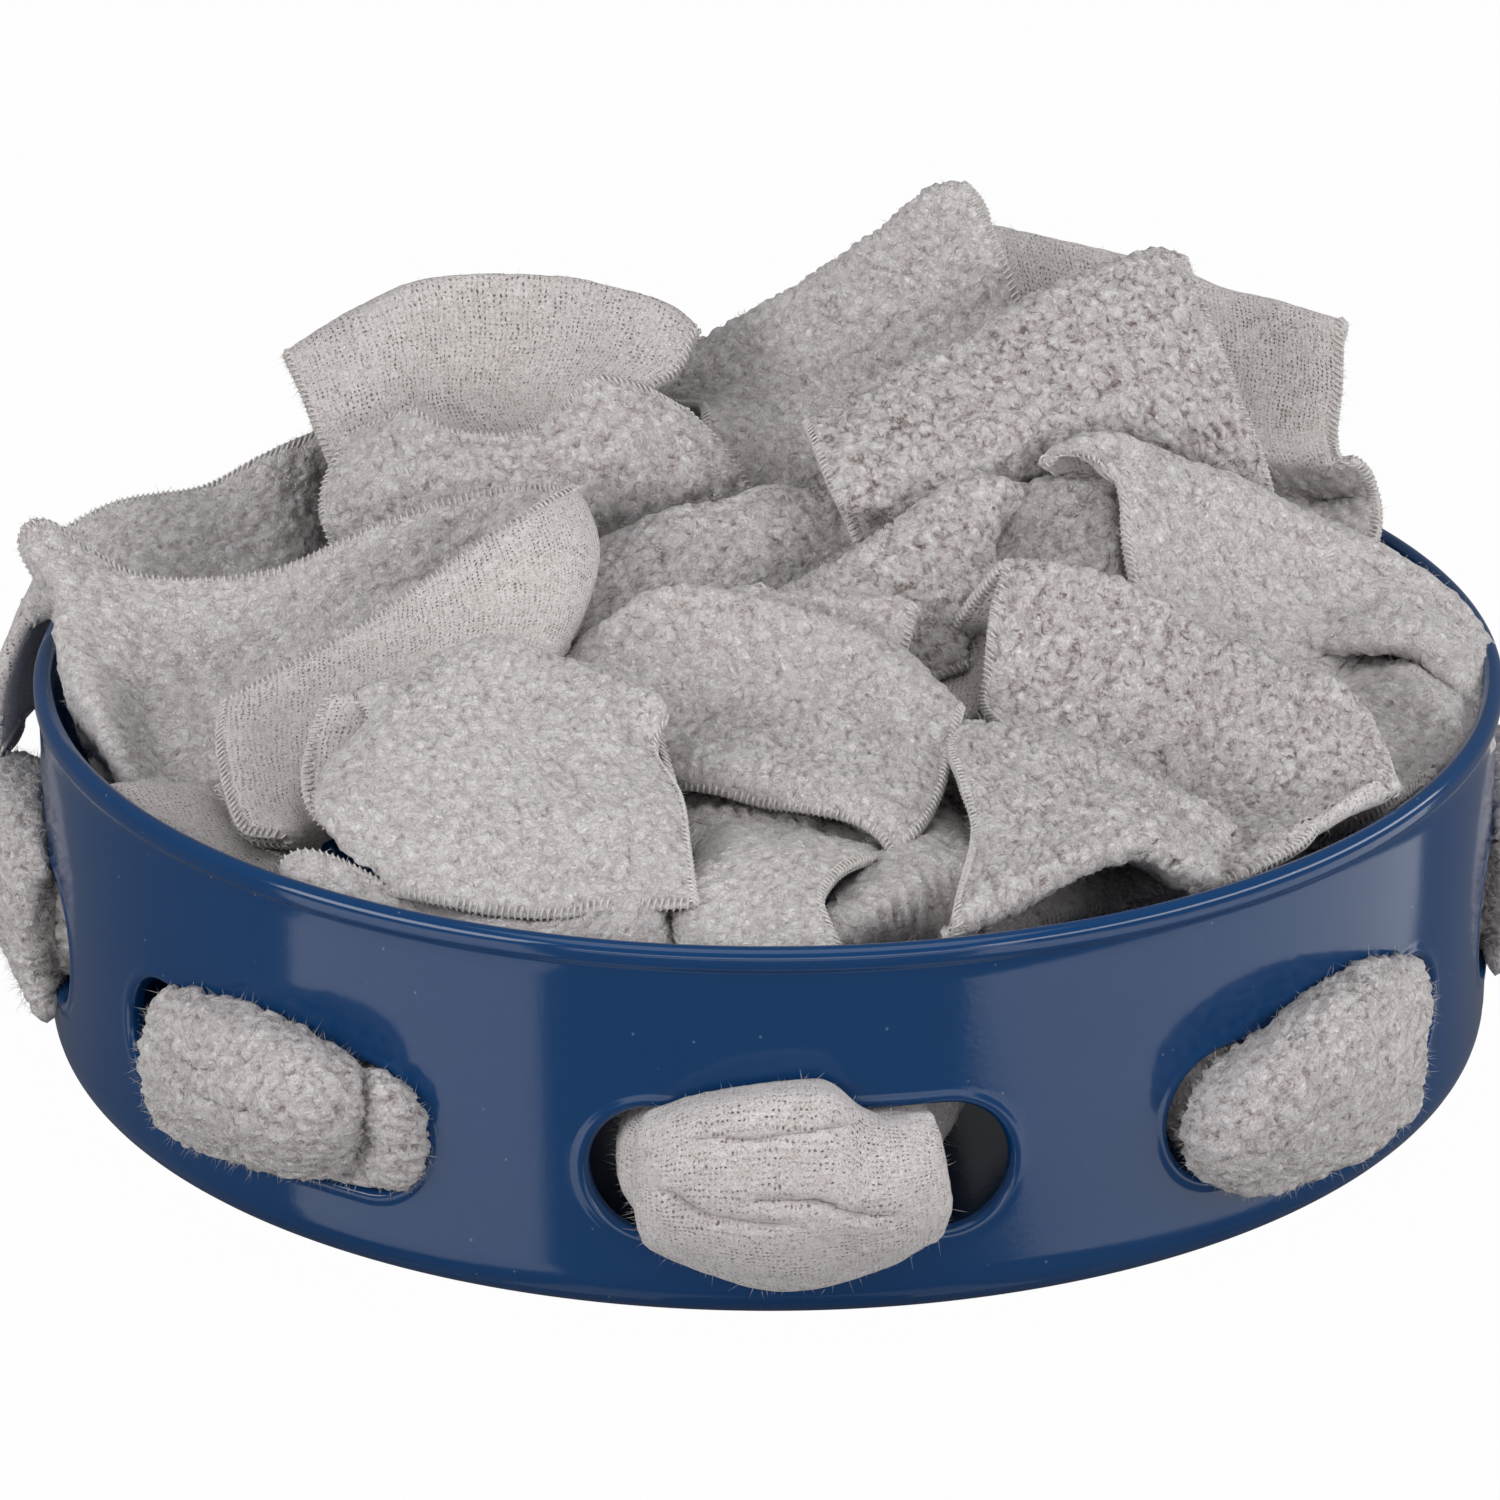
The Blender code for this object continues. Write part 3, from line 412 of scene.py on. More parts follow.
def gridQuads(rows, columns, start=0, close=False):
    # points are numbered row by row: start + row * columns + column
    i = np.arange(rows - 1)[:, None]
    j = np.arange(columns if close else columns - 1)[None, :]
    n = (j + 1) % columns
    return np.stack([start + i * columns + j + 0 * n, start + (i + 1) * columns + j,
                     start + (i + 1) * columns + n, start + i * columns + n], axis=-1).reshape(-1, 4)


def unit(vectors):
    # each vector divided by its length
    return vectors / np.maximum(np.linalg.norm(vectors, axis=-1, keepdims=True), 1e-12)


# ---- the bowl
def wallOuter(height):
    # rim radius - lip step - draft * share of the wall below its top
    top = bowlShape["height"] - bowlShape["lipHeight"]
    return bowlShape["rimRadius"] - bowlShape["lipStep"] - bowlShape["draft"] * (top - height) / top


def innerWall(height):
    # straight slope from the top of the inner corner to the inside of the lip
    base = wallOuter(0.0) - bowlShape["wall"]
    low = bowlShape["footLift"] + bowlShape["footHeight"] + bowlShape["floor"] + bowlShape["innerCorner"]
    lipRadius = (bowlShape["lipStep"] + bowlShape["wall"]) / 2
    inside = bowlShape["rimRadius"] - 2 * lipRadius
    return base + (inside - base) * (height - low) / (bowlShape["height"] - lipRadius - low)


def arcOf(centreR, centreZ, radius, start, end, count):
    # (centre r + radius * cos(turn), centre z + radius * sin(turn)), turn in degrees
    turn = np.radians(np.linspace(start, end, count))
    return np.stack([centreR + radius * np.cos(turn), centreZ + radius * np.sin(turn)], axis=1)


def slotTurn(slot):
    # first angle + slot * 360 / count
    return np.radians(slotShape["firstAngle"] + 360 / slotShape["count"] * slot)


def roundPlace(radius, turn, height):
    # (radius * sin(turn), -radius * cos(turn), height)
    return np.stack(np.broadcast_arrays(radius * np.sin(turn), -radius * np.cos(turn), height), -1)


def wallPlace(turn, arc, radius, height):
    # arc is a length along the rim's circle, from the place at turn
    return roundPlace(radius, turn + arc / bowlShape["rimRadius"], height)


def bowlProfiles():
    # three (r, z) outlines: underside and lower outside, upper outside with the lip, and the
    # inside's bottom; the band between them is left to the holes
    s = bowlShape
    foot, under = s["footLift"], s["footLift"] + s["footHeight"]
    floorTop = under + s["floor"]
    flat = wallOuter(0.0) - s["corner"]
    footIn = flat - s["footWidth"]
    grooveIn = footIn + s["grooveInset"]
    grooveOut = grooveIn + s["grooveWidth"]
    ease = s["footEase"]
    below = [(r, under) for r in (0.0, 0.010, 0.030, 0.060, 0.090)] + [
        (footIn - 4 * ease, under), (footIn - 2 * ease, under - ease), (footIn, foot + ease),
        (footIn + ease, foot), (grooveIn - ease, foot), (grooveIn, foot + ease), (grooveIn, under),
        (grooveOut, under), (grooveOut, foot + ease), (grooveOut + ease, foot), (flat - 0.004, foot)]
    bottom = foot + s["corner"]
    low = np.concatenate([below, arcOf(flat, bottom, s["corner"], -90, 0, 14),
                          [(wallOuter(z), z) for z in np.linspace(bottom + 0.001, slotShape["low"], 4)]])
    lipBase, step, rim = s["height"] - s["lipHeight"], s["lipStep"], s["rimRadius"]
    lipRadius = (step + s["wall"]) / 2
    lipMiddle = s["height"] - lipRadius
    wallTop = lipBase - step
    upper = [(wallOuter(z), z) for z in np.linspace(slotShape["high"], wallTop, 9)]
    # the sweep from the wall out to the lip, in shares of the lip's step
    sweep = [(wallOuter(wallTop) + step * 0.12, lipBase - step * 0.45),
             (wallOuter(wallTop) + step * 0.5, lipBase), (rim - step * 0.12, lipBase + step * 0.45),
             (rim, lipBase + step), (rim, lipBase + step * 1.6)]
    over = arcOf(rim - lipRadius, lipMiddle, lipRadius, 0, 180, 15)
    down = [(innerWall(z), z) for z in np.linspace(lipMiddle - 0.003, slotShape["high"], 7)]
    high = np.concatenate([upper, sweep, over, down])
    inner = wallOuter(0.0) - s["wall"]
    corner = s["innerCorner"]
    inside = np.concatenate([[(innerWall(slotShape["low"]), slotShape["low"])],
                             arcOf(inner - corner, floorTop + corner, corner, 0, -90, 9),
                             [(r, floorTop) for r in (0.118, 0.095, 0.065, 0.035, 0.012, 0.0)]])
    return low, high, inside


def turned(profile, turns, first=0.0, rows=None):
    # the profile carried once round the Z axis; one row more than it has closes it
    turn = np.arange(turns) * 2 * np.pi / turns + first
    points = roundPlace(profile[:, :1], turn, profile[:, 1:]).reshape(-1, 3)
    return points, gridQuads(rows or len(profile), turns, close=True) % len(points)


def holeEdge(turnRound):
    # distance from the hole's middle to its D-shaped edge, for each direction
    s = slotShape
    half, near, corner = s["height"] / 2, s["bar"] / 2, s["corner"]
    far = s["width"] / 2
    dense = np.concatenate([
        arcOf(near + corner, corner - half, corner, 180, 270, 12), arcOf(far - half, 0.0, half, -90, 90, 60),
        arcOf(near + corner, half - corner, corner, 90, 180, 12)])
    steps = np.linspace(0.0, 1.0, 24, endpoint=False)[:, None, None]
    ring = (dense + (np.roll(dense, -1, axis=0) - dense) * steps).transpose(1, 0, 2).reshape(-1, 2)
    offset = ring - ((near + far) / 2, 0.0)
    bearing = np.arctan2(offset[:, 1], offset[:, 0])
    order = np.argsort(bearing)
    return np.interp(turnRound, bearing[order], np.linalg.norm(offset, axis=1)[order], period=2 * np.pi)


def holePatch():
    # the wall round one hole as rings, from the patch's border to the edge, through the wall
    # and out to the border again on the inside; columns run round the hole. Each ring is given
    # as (arc, height) places, with its depth under the wall's face and the side it is on.
    s = slotShape
    across, up = s["across"], s["up"]
    half = np.pi / s["count"] * bowlShape["rimRadius"]
    low, high = s["low"], s["high"]
    arcs = np.linspace(0.0, half, across + 1)
    heights = np.linspace(low, high, up + 1)
    border = np.concatenate([
        np.stack([arcs[:-1], np.full(across, low)], 1), np.stack([np.full(up, half), heights[:-1]], 1),
        np.stack([arcs[:0:-1], np.full(across, high)], 1), np.stack([np.zeros(up), heights[:0:-1]], 1)])
    centre = np.array([(s["bar"] / 2 + s["width"] / 2) / 2, s["middle"]])
    offset = border - centre
    bearing = np.arctan2(offset[:, 1], offset[:, 0])
    away = np.stack([np.cos(bearing), np.sin(bearing)], 1)
    edge = centre + away * holeEdge(bearing)[:, None]
    along = np.roll(edge, -1, axis=0) - np.roll(edge, 1, axis=0)
    along = along / np.linalg.norm(along, axis=1)[:, None]
    outward = np.stack([along[:, 1], -along[:, 0]], 1)
    round_, bead, reach, inside = s["rounding"], s["bead"], s["beadReach"], s["inside"]
    lipStart = edge + outward * round_ * reach
    flatStart = edge + outward * inside
    quarter = np.pi / 2
    n = s["rings"]
    # the flat wall, the bead's rise, its round edge, the small round inside, the flat inside
    rings = [(border + (lipStart - border) * share, 0.0, 1)
             for share in np.linspace(0.0, 1.0, n["wall"])[:-1]]
    for share in np.linspace(0.0, 1.0, n["bead"])[:-1]:
        rise = -bead * np.sin(share * quarter) ** 2
        rings.append((edge + outward * round_ * (reach - (reach - 1) * share), rise, 1))
    for turn in np.linspace(0.0, quarter, n["round"]):
        depth = -bead + (round_ + bead) * (1 - np.cos(turn))
        rings.append((edge + outward * round_ * (1 - np.sin(turn)), depth, 1))
    for turn in np.linspace(quarter, 0.0, n["inside"]):
        rings.append((edge + outward * inside * (1 - np.sin(turn)), inside * (1 - np.cos(turn)), -1))
    return rings + [(flatStart + (border - flatStart) * share, 0.0, -1)
                    for share in np.linspace(0.0, 1.0, n["back"])[1:]]


def wallPatches():
    # radius = outer wall - depth on the outside, inner wall + depth on the inside
    rings = holePatch()
    rows = np.array([row for row, _, _ in rings])
    depth = np.array([depth for _, depth, _ in rings])[:, None]
    sign = np.array([sign for _, _, sign in rings])[:, None]
    arc, height = rows[..., 0], rows[..., 1]
    radius = np.where(sign > 0, wallOuter(height) - depth, innerWall(height) + depth)
    patch = gridQuads(*arc.shape, close=True)
    points, quads = [], []
    for slot in range(slotShape["count"]):
        for side in (-1, 1):
            quads.append((patch if side > 0 else patch[:, ::-1]) + len(points) * arc.size)
            points.append(wallPlace(slotTurn(slot), side * arc, radius, height).reshape(-1, 3))
    return np.concatenate(points), np.concatenate(quads)


def makeBowl():
    parts = [turned(profile, bowlShape["turns"], slotTurn(0)) for profile in bowlProfiles()] + [wallPatches()]
    points = np.concatenate([p for p, _ in parts])
    starts = np.cumsum([0] + [len(p) for p, _ in parts[:-1]])
    quads = np.concatenate([q + start for (_, q), start in zip(parts, starts)])
    points, quads, triangles = mergedPoints(points, quads)
    bowl = makePiece("bowlBody", points, quads, navyFinish, triangles)
    outwardFaces(bowl)
    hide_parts("bowl")


def outwardFaces(piece):
    # turns every face outwards and prints how many edges are open: none in a closed piece
    shape = bmesh.new()
    shape.from_mesh(piece.data)
    bmesh.ops.recalc_face_normals(shape, faces=shape.faces)
    openEdges = sum(1 for edge in shape.edges if len(edge.link_faces) != 2)
    shape.to_mesh(piece.data)
    shape.free()
    print(piece.name, "faces", len(piece.data.polygons), "open edges", openEdges)


makeBowl()


# ---- rubber ring pressed into the foot, with fine ribs underneath
gripShape = {"width": 0.008, "gap": 0.0003, "round": 0.0005, "turns": 256, "ribs": 9, "ribStart": 0.0004,
             "ribPitch": 0.00082, "ribDepth": 0.00012}


def makeGrip():
    g, s = gripShape, bowlShape
    inner = wallOuter(0.0) - s["corner"] - s["footWidth"] + s["grooveInset"] + g["gap"]
    outer = inner + g["width"]
    top = s["footLift"] + s["footHeight"] - g["gap"]
    r = g["round"]
    ribs = [(inner + r + g["ribStart"] + k * g["ribPitch"], g["ribDepth"] * (k % 2))
            for k in range(g["ribs"])]
    profile = np.concatenate([arcOf(inner + r, r, r, 180, 270, 5), ribs[1:-1],
                              arcOf(outer - r, r, r, 270, 360, 5), [(outer, top), (inner, top)]])
    points, quads = turned(profile, g["turns"], rows=len(profile) + 1)
    ring = makePiece("gripRing", points, quads, rubberFinish)
    outwardFaces(ring)
    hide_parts("grip_ring")


makeGrip()


# ---- the fleece strips
def sightPlaces(marks):
    # a mark is a place in the 1500 px picture and how far back it lies, in hundredths of the
    # rim radius; its place is where the sight line through it meets that upright plane
    px, py, back = np.asarray(marks, float).T
    tilt, far = np.radians(photoView["tilt"]), photoView["far"]
    across = (px - photoView["middleX"]) / photoView["radiusPx"]
    rise = (photoView["middleY"] - py) / photoView["radiusPx"]
    back = back / 100.0
    reach = (back + far * np.cos(tilt)) / (far * np.cos(tilt) + rise * np.sin(tilt))
    lift = far * np.sin(tilt) + reach * (rise * np.cos(tilt) - far * np.sin(tilt))
    radius = bowlShape["rimRadius"]
    return np.stack([radius * reach * across, radius * back, bowlShape["height"] + radius * lift], -1)


def throughRows(rows, steps):
    # smooth curve through the rows: each point is a cubic of the four nearest rows
    rows = np.asarray(rows, float)
    padded = np.concatenate([[2 * rows[0] - rows[1]], rows, [2 * rows[-1] - rows[-2]]])
    t = (np.arange(steps) / steps).reshape((1, steps) + (1,) * (rows.ndim - 1))
    before, start, end, after = (padded[k:k + len(rows) - 1][:, None] for k in range(4))
    curve = 0.5 * (2 * start + (end - before) * t + (2 * before - 5 * start + 4 * end - after) * t ** 2
                   + (3 * start - before - 3 * end + after) * t ** 3)
    return np.concatenate([curve.reshape((-1,) + rows.shape[1:]), rows[-1:]])


def lengthAlong(curve):
    # the sum of the steps up to each point
    return np.concatenate([[0.0], np.cumsum(np.linalg.norm(np.diff(curve, axis=0), axis=1))])


def atLengths(wanted, travelled, curve):
    # the curve's three coordinates at the wanted lengths
    return np.stack([np.interp(wanted, travelled, curve[:, k]) for k in range(3)], 1)


def evenPoints(curve, count):
    # the curve's points spread evenly over its length
    travelled = lengthAlong(curve)
    return atLengths(np.linspace(0.0, travelled[-1], count), travelled, curve)


def tuckedRung(marks, tuck):
    # the seen part of a row from its marks; a row that is too short for the cloth goes on
    # behind itself in flat turns, away from the camera, from the end named by tuck
    c = clothShape
    curve = throughRows(sightPlaces(marks), c["markSteps"])
    if not tuck:
        curve = curve[::-1]
    seen = lengthAlong(curve)[-1]
    layer = evenPoints(curve, c["layerPoints"])
    spare, r = c["leastWidth"] - seen, c["turnRadius"]
    path = [layer]
    while spare > c["leastTurn"]:
        ahead = layer[-1] - layer[-4]
        ahead /= np.linalg.norm(ahead)
        behind = -towardsCamera(layer[-1])
        behind = behind - ahead * behind.dot(ahead)
        behind /= np.linalg.norm(behind)
        turn = np.linspace(0.0, np.pi, c["bendPoints"])[1:, None]
        bend = layer[-1] + r * (np.sin(turn) * ahead + (1 - np.cos(turn)) * behind)
        layer = layer[::-1] + 2 * r * behind
        both = np.concatenate([bend, layer[1:]])
        travelled = lengthAlong(np.concatenate([path[-1][-1:], both]))[1:]
        keep = max(2, int(np.searchsorted(travelled, spare)) + 1)
        path.append(both[:keep])
        spare -= travelled[min(keep, len(travelled)) - 1]
    path = np.concatenate(path)
    row = evenPoints(path, c["columns"])
    return (row if tuck else row[::-1]), seen / lengthAlong(path)[-1]


# mixing factors for the three coordinates of a cell and for the seed
hashFactors = (73856093, 19349663, 83492791, 2654435)
randomTable = np.random.default_rng(7).random((8192, 3))


def hashed(cells, seed):
    # three random values for each cell: table[mixed xor (mixed shifted by 13), cut to the table's length]
    x, y, z, s = hashFactors
    mixed = cells[..., 0] * x ^ cells[..., 1] * y ^ cells[..., 2] * z ^ (seed * s)
    return randomTable[(mixed ^ (mixed >> 13)) & (len(randomTable) - 1)]


def smoothNoise(points, size, seed):
    # values at the corners of cubic cells of the given size, eased between the corners
    places = points / size
    low = np.floor(places).astype(np.int64)
    part = places - low
    part = part * part * (3 - 2 * part)
    total = np.zeros(len(points))
    for corner in range(8):
        step = np.array([corner & 1, corner >> 1 & 1, corner >> 2 & 1])
        share = np.where(step, part, 1 - part).prod(axis=1)
        total += share * hashed(low + step, seed)[:, 0]
    return total * 2 - 1


def layered(pattern, points, layers, seed):
    # the sum of weight * pattern over the layers
    return sum(weight * pattern(points, size, seed + step) for weight, size, step in layers)


tuftShape = {"swaySize": 0.9, "sway": 0.42, "reach": 0.95, "groove": 0.28, "foot": 0.35}


def tuftHeight(points, size, seed):
    # one tuft in every swayed cell: a dome round the nearest centre, with a groove where
    # the second nearest centre is as far away
    t = tuftShape
    sway = np.stack([smoothNoise(points, size * t["swaySize"], seed + 20 + k) for k in range(3)], -1)
    places = points / size + sway * t["sway"]
    low = np.floor(places).astype(np.int64)
    first = np.full(len(points), 9.0)
    second = np.full(len(points), 9.0)
    for step in np.ndindex(3, 3, 3):
        cell = low + (np.array(step) - 1)
        away = np.linalg.norm(places - (cell + hashed(cell, seed)), axis=1)
        second = np.where(away < first, first, np.minimum(second, away))
        first = np.minimum(first, away)
    dome = np.sqrt(np.clip(1 - (first / t["reach"]) ** 2, 0, 1))
    groove = np.clip((second - first) / t["groove"], 0, 1)
    return dome * (t["foot"] + (1 - t["foot"]) * groove * (2 - groove))


# the bundle from inside the wall, out through a hole and over the bar to the other hole
loopShape = {
    "bundle": 0.0105, "frontShare": 0.60, "flap": 0.0155, "flapStand": 0.0024, "flapMost": 0.42,
    "flapTurn": 0.055, "flapSag": 0.0004, "wrap": 150.0, "barGap": 0.0016, "square": 0.75, "steps": 5,
    "frontSteps": 12, "flapSteps": 8, "endFlap": 0.4, "creaseWidth": 4.2, "creaseFrom": 0.0035,
    "creaseOver": 0.003, "creaseSteps": 8, "endRise": 5, "endLeast": 0.15,
    "nearPlane": -130.0,
}


def onWall(marks):
    # a loop's mark is a place in the picture and how far it stands out from the wall, in mm;
    # its place is where the sight line meets the wall made wider by that much:
    # front + ray * t with a t² + 2 b t + c = 0
    px, py, stand = np.asarray(marks, float).T
    front = sightPlaces(np.stack([px, py, np.full(len(px), loopShape["nearPlane"])], -1))
    ray = sightPlaces(np.stack([px, py, np.zeros(len(px))], -1)) - front
    radius = wallOuter(slotShape["high"]) + stand / 1000
    a = (ray[:, :2] ** 2).sum(-1)
    b = (ray[:, :2] * front[:, :2]).sum(-1)
    c = (front[:, :2] ** 2).sum(-1) - radius ** 2
    return front + ray * ((-b - np.sqrt(np.maximum(b * b - a * c, 0))) / a)[:, None]


def pictureOf(points):
    # the other way round: the picture place of each point
    v = photoView
    tilt, far = np.radians(v["tilt"]), v["far"]
    x, y = (points[..., k] / bowlShape["rimRadius"] for k in (0, 1))
    z = (points[..., 2] - bowlShape["height"]) / bowlShape["rimRadius"]
    away = far + y * np.cos(tilt) - z * np.sin(tilt)
    rise = far * (y * np.sin(tilt) + z * np.cos(tilt)) / away
    return np.stack([v["middleX"] + v["radiusPx"] * far * x / away, v["middleY"] - v["radiusPx"] * rise], -1)


def turnedRound(points, turn):
    # (x * cos - y * sin, x * sin + y * cos, z)
    c, s = np.cos(turn), np.sin(turn)
    x, y = points[..., 0], points[..., 1]
    return np.stack([x * c - y * s, x * s + y * c, points[..., 2]], -1)


def frontColumns():
    return int(round(clothShape["columns"] * loopShape["frontShare"]))


def wrappedRow(marks, endShare, side):
    # the front of the loop through its marks, then a flap at the top and one at the bottom
    # that lie behind it along the wall
    g = loopShape
    front = throughRows(onWall(marks), g["frontSteps"])
    high, low = front[0], front[-1]
    spare = clothShape["columns"] - frontColumns()
    radius = wallOuter(slotShape["high"]) + g["flapStand"]
    reach = min(g["flap"], g["flapMost"] * (high[2] - low[2])) * (1 - g["endFlap"] * endShare)
    flaps = []
    for edge, down in ((high, -1), (low, 1)):
        turn = np.arctan2(edge[0], -edge[1]) - side * endShare * g["flapTurn"]
        end = roundPlace(radius, turn, edge[2] + down * reach)
        sag = np.array([np.sin(turn), -np.cos(turn), 0]) * g["flapSag"]
        flaps.append(throughRows([edge, (edge + end) / 2 - sag, end], g["flapSteps"]))
    lower = evenPoints(flaps[1][::-1], spare // 2 + 1)[:-1]
    upper = evenPoints(flaps[0], spare - spare // 2 + 1)[1:]
    return np.concatenate([lower, evenPoints(front[::-1], frontColumns()), upper])


def passageRow(slot, middleArc, halfWide, radius, high):
    # the bundle in the hole: an oval, open on the side of the bar
    g = loopShape
    columns = clothShape["columns"]
    flap = (columns - frontColumns()) / columns
    phase = np.radians(np.interp(np.linspace(0, 1, columns), [0, flap / 2, 1 - flap / 2, 1],
                                 [-g["wrap"], -90, 90, g["wrap"]]))
    # sign * |cos or sin| ^ square: nearer to a rectangle than an ellipse is
    forth, up = (np.sign(wave) * np.abs(wave) ** g["square"] for wave in (np.cos(phase), np.sin(phase)))
    arc = middleArc + np.sign(middleArc) * halfWide * forth
    return wallPlace(slotTurn(slot), arc, radius, slotShape["middle"] + high * up)


def pressedIn(rows, creases):
    # creases: lines over the picture, pressed in towards the wall by
    # depth * exp(-(distance / width) ** 2), less at both ends of a line
    g = loopShape
    place = pictureOf(rows)
    away = rows * (1, 1, 0)
    stand = np.linalg.norm(away, axis=-1, keepdims=True)
    start = wallOuter(slotShape["middle"]) + g["creaseFrom"]
    outside = np.clip((stand[..., 0] - start) / g["creaseOver"], 0, 1)
    pressed = np.zeros(rows.shape[:2])
    for line, depth in creases:
        line = throughRows(np.array(line, float), g["creaseSteps"])
        gaps = np.linalg.norm(place[:, :, None] - line, axis=-1)
        along = gaps.argmin(-1) / (len(line) - 1)
        ends = np.clip(np.minimum(along, 1 - along) * g["endRise"] + g["endLeast"], 0, 1)
        press = depth / 1000 * ends * np.exp(-(gaps.min(-1) / g["creaseWidth"]) ** 2)
        pressed = np.maximum(pressed, press)
    return rows - away / stand * (pressed * outside)[..., None]


# the bundle's three rows on its way out: how far in, from which face, its height and its width;
# it is narrower in the hole than inside the wall
passages = (("wall", -0.009, 0.95, 1.0), ("wall", -0.001, 1.0, 0.95), ("face", -0.0005, 1.0, 0.84))


def loopRows(slot, look):
    # the loop is worked out in the slot where the picture shows it, then turned to its own slot
    home, last = look["slot"], len(look["rungs"]) - 1
    face = wallOuter(slotShape["middle"])
    radii = {"face": face, "wall": face - bowlShape["wall"]}
    nearest = slotShape["bar"] / 2 + loopShape["barGap"]
    holes = [[passageRow(home, side * (nearest + far * spread) / 2, (far * spread - nearest) / 2,
                         radii[start] + step, loopShape["bundle"] * high)
              for start, step, high, spread in passages]
             for side, far in zip((-1, 1), look["far"])]
    middle = [wrappedRow(marks, 1.0 if k in (0, last) else 0.0, -1 if k == 0 else 1)
              for k, marks in enumerate(look["rungs"])]
    rows = throughRows(np.array(holes[0] + middle + holes[1][::-1]), loopShape["steps"])
    return turnedRound(pressedIn(rows, look["creases"]), slotTurn(slot) - slotTurn(home))


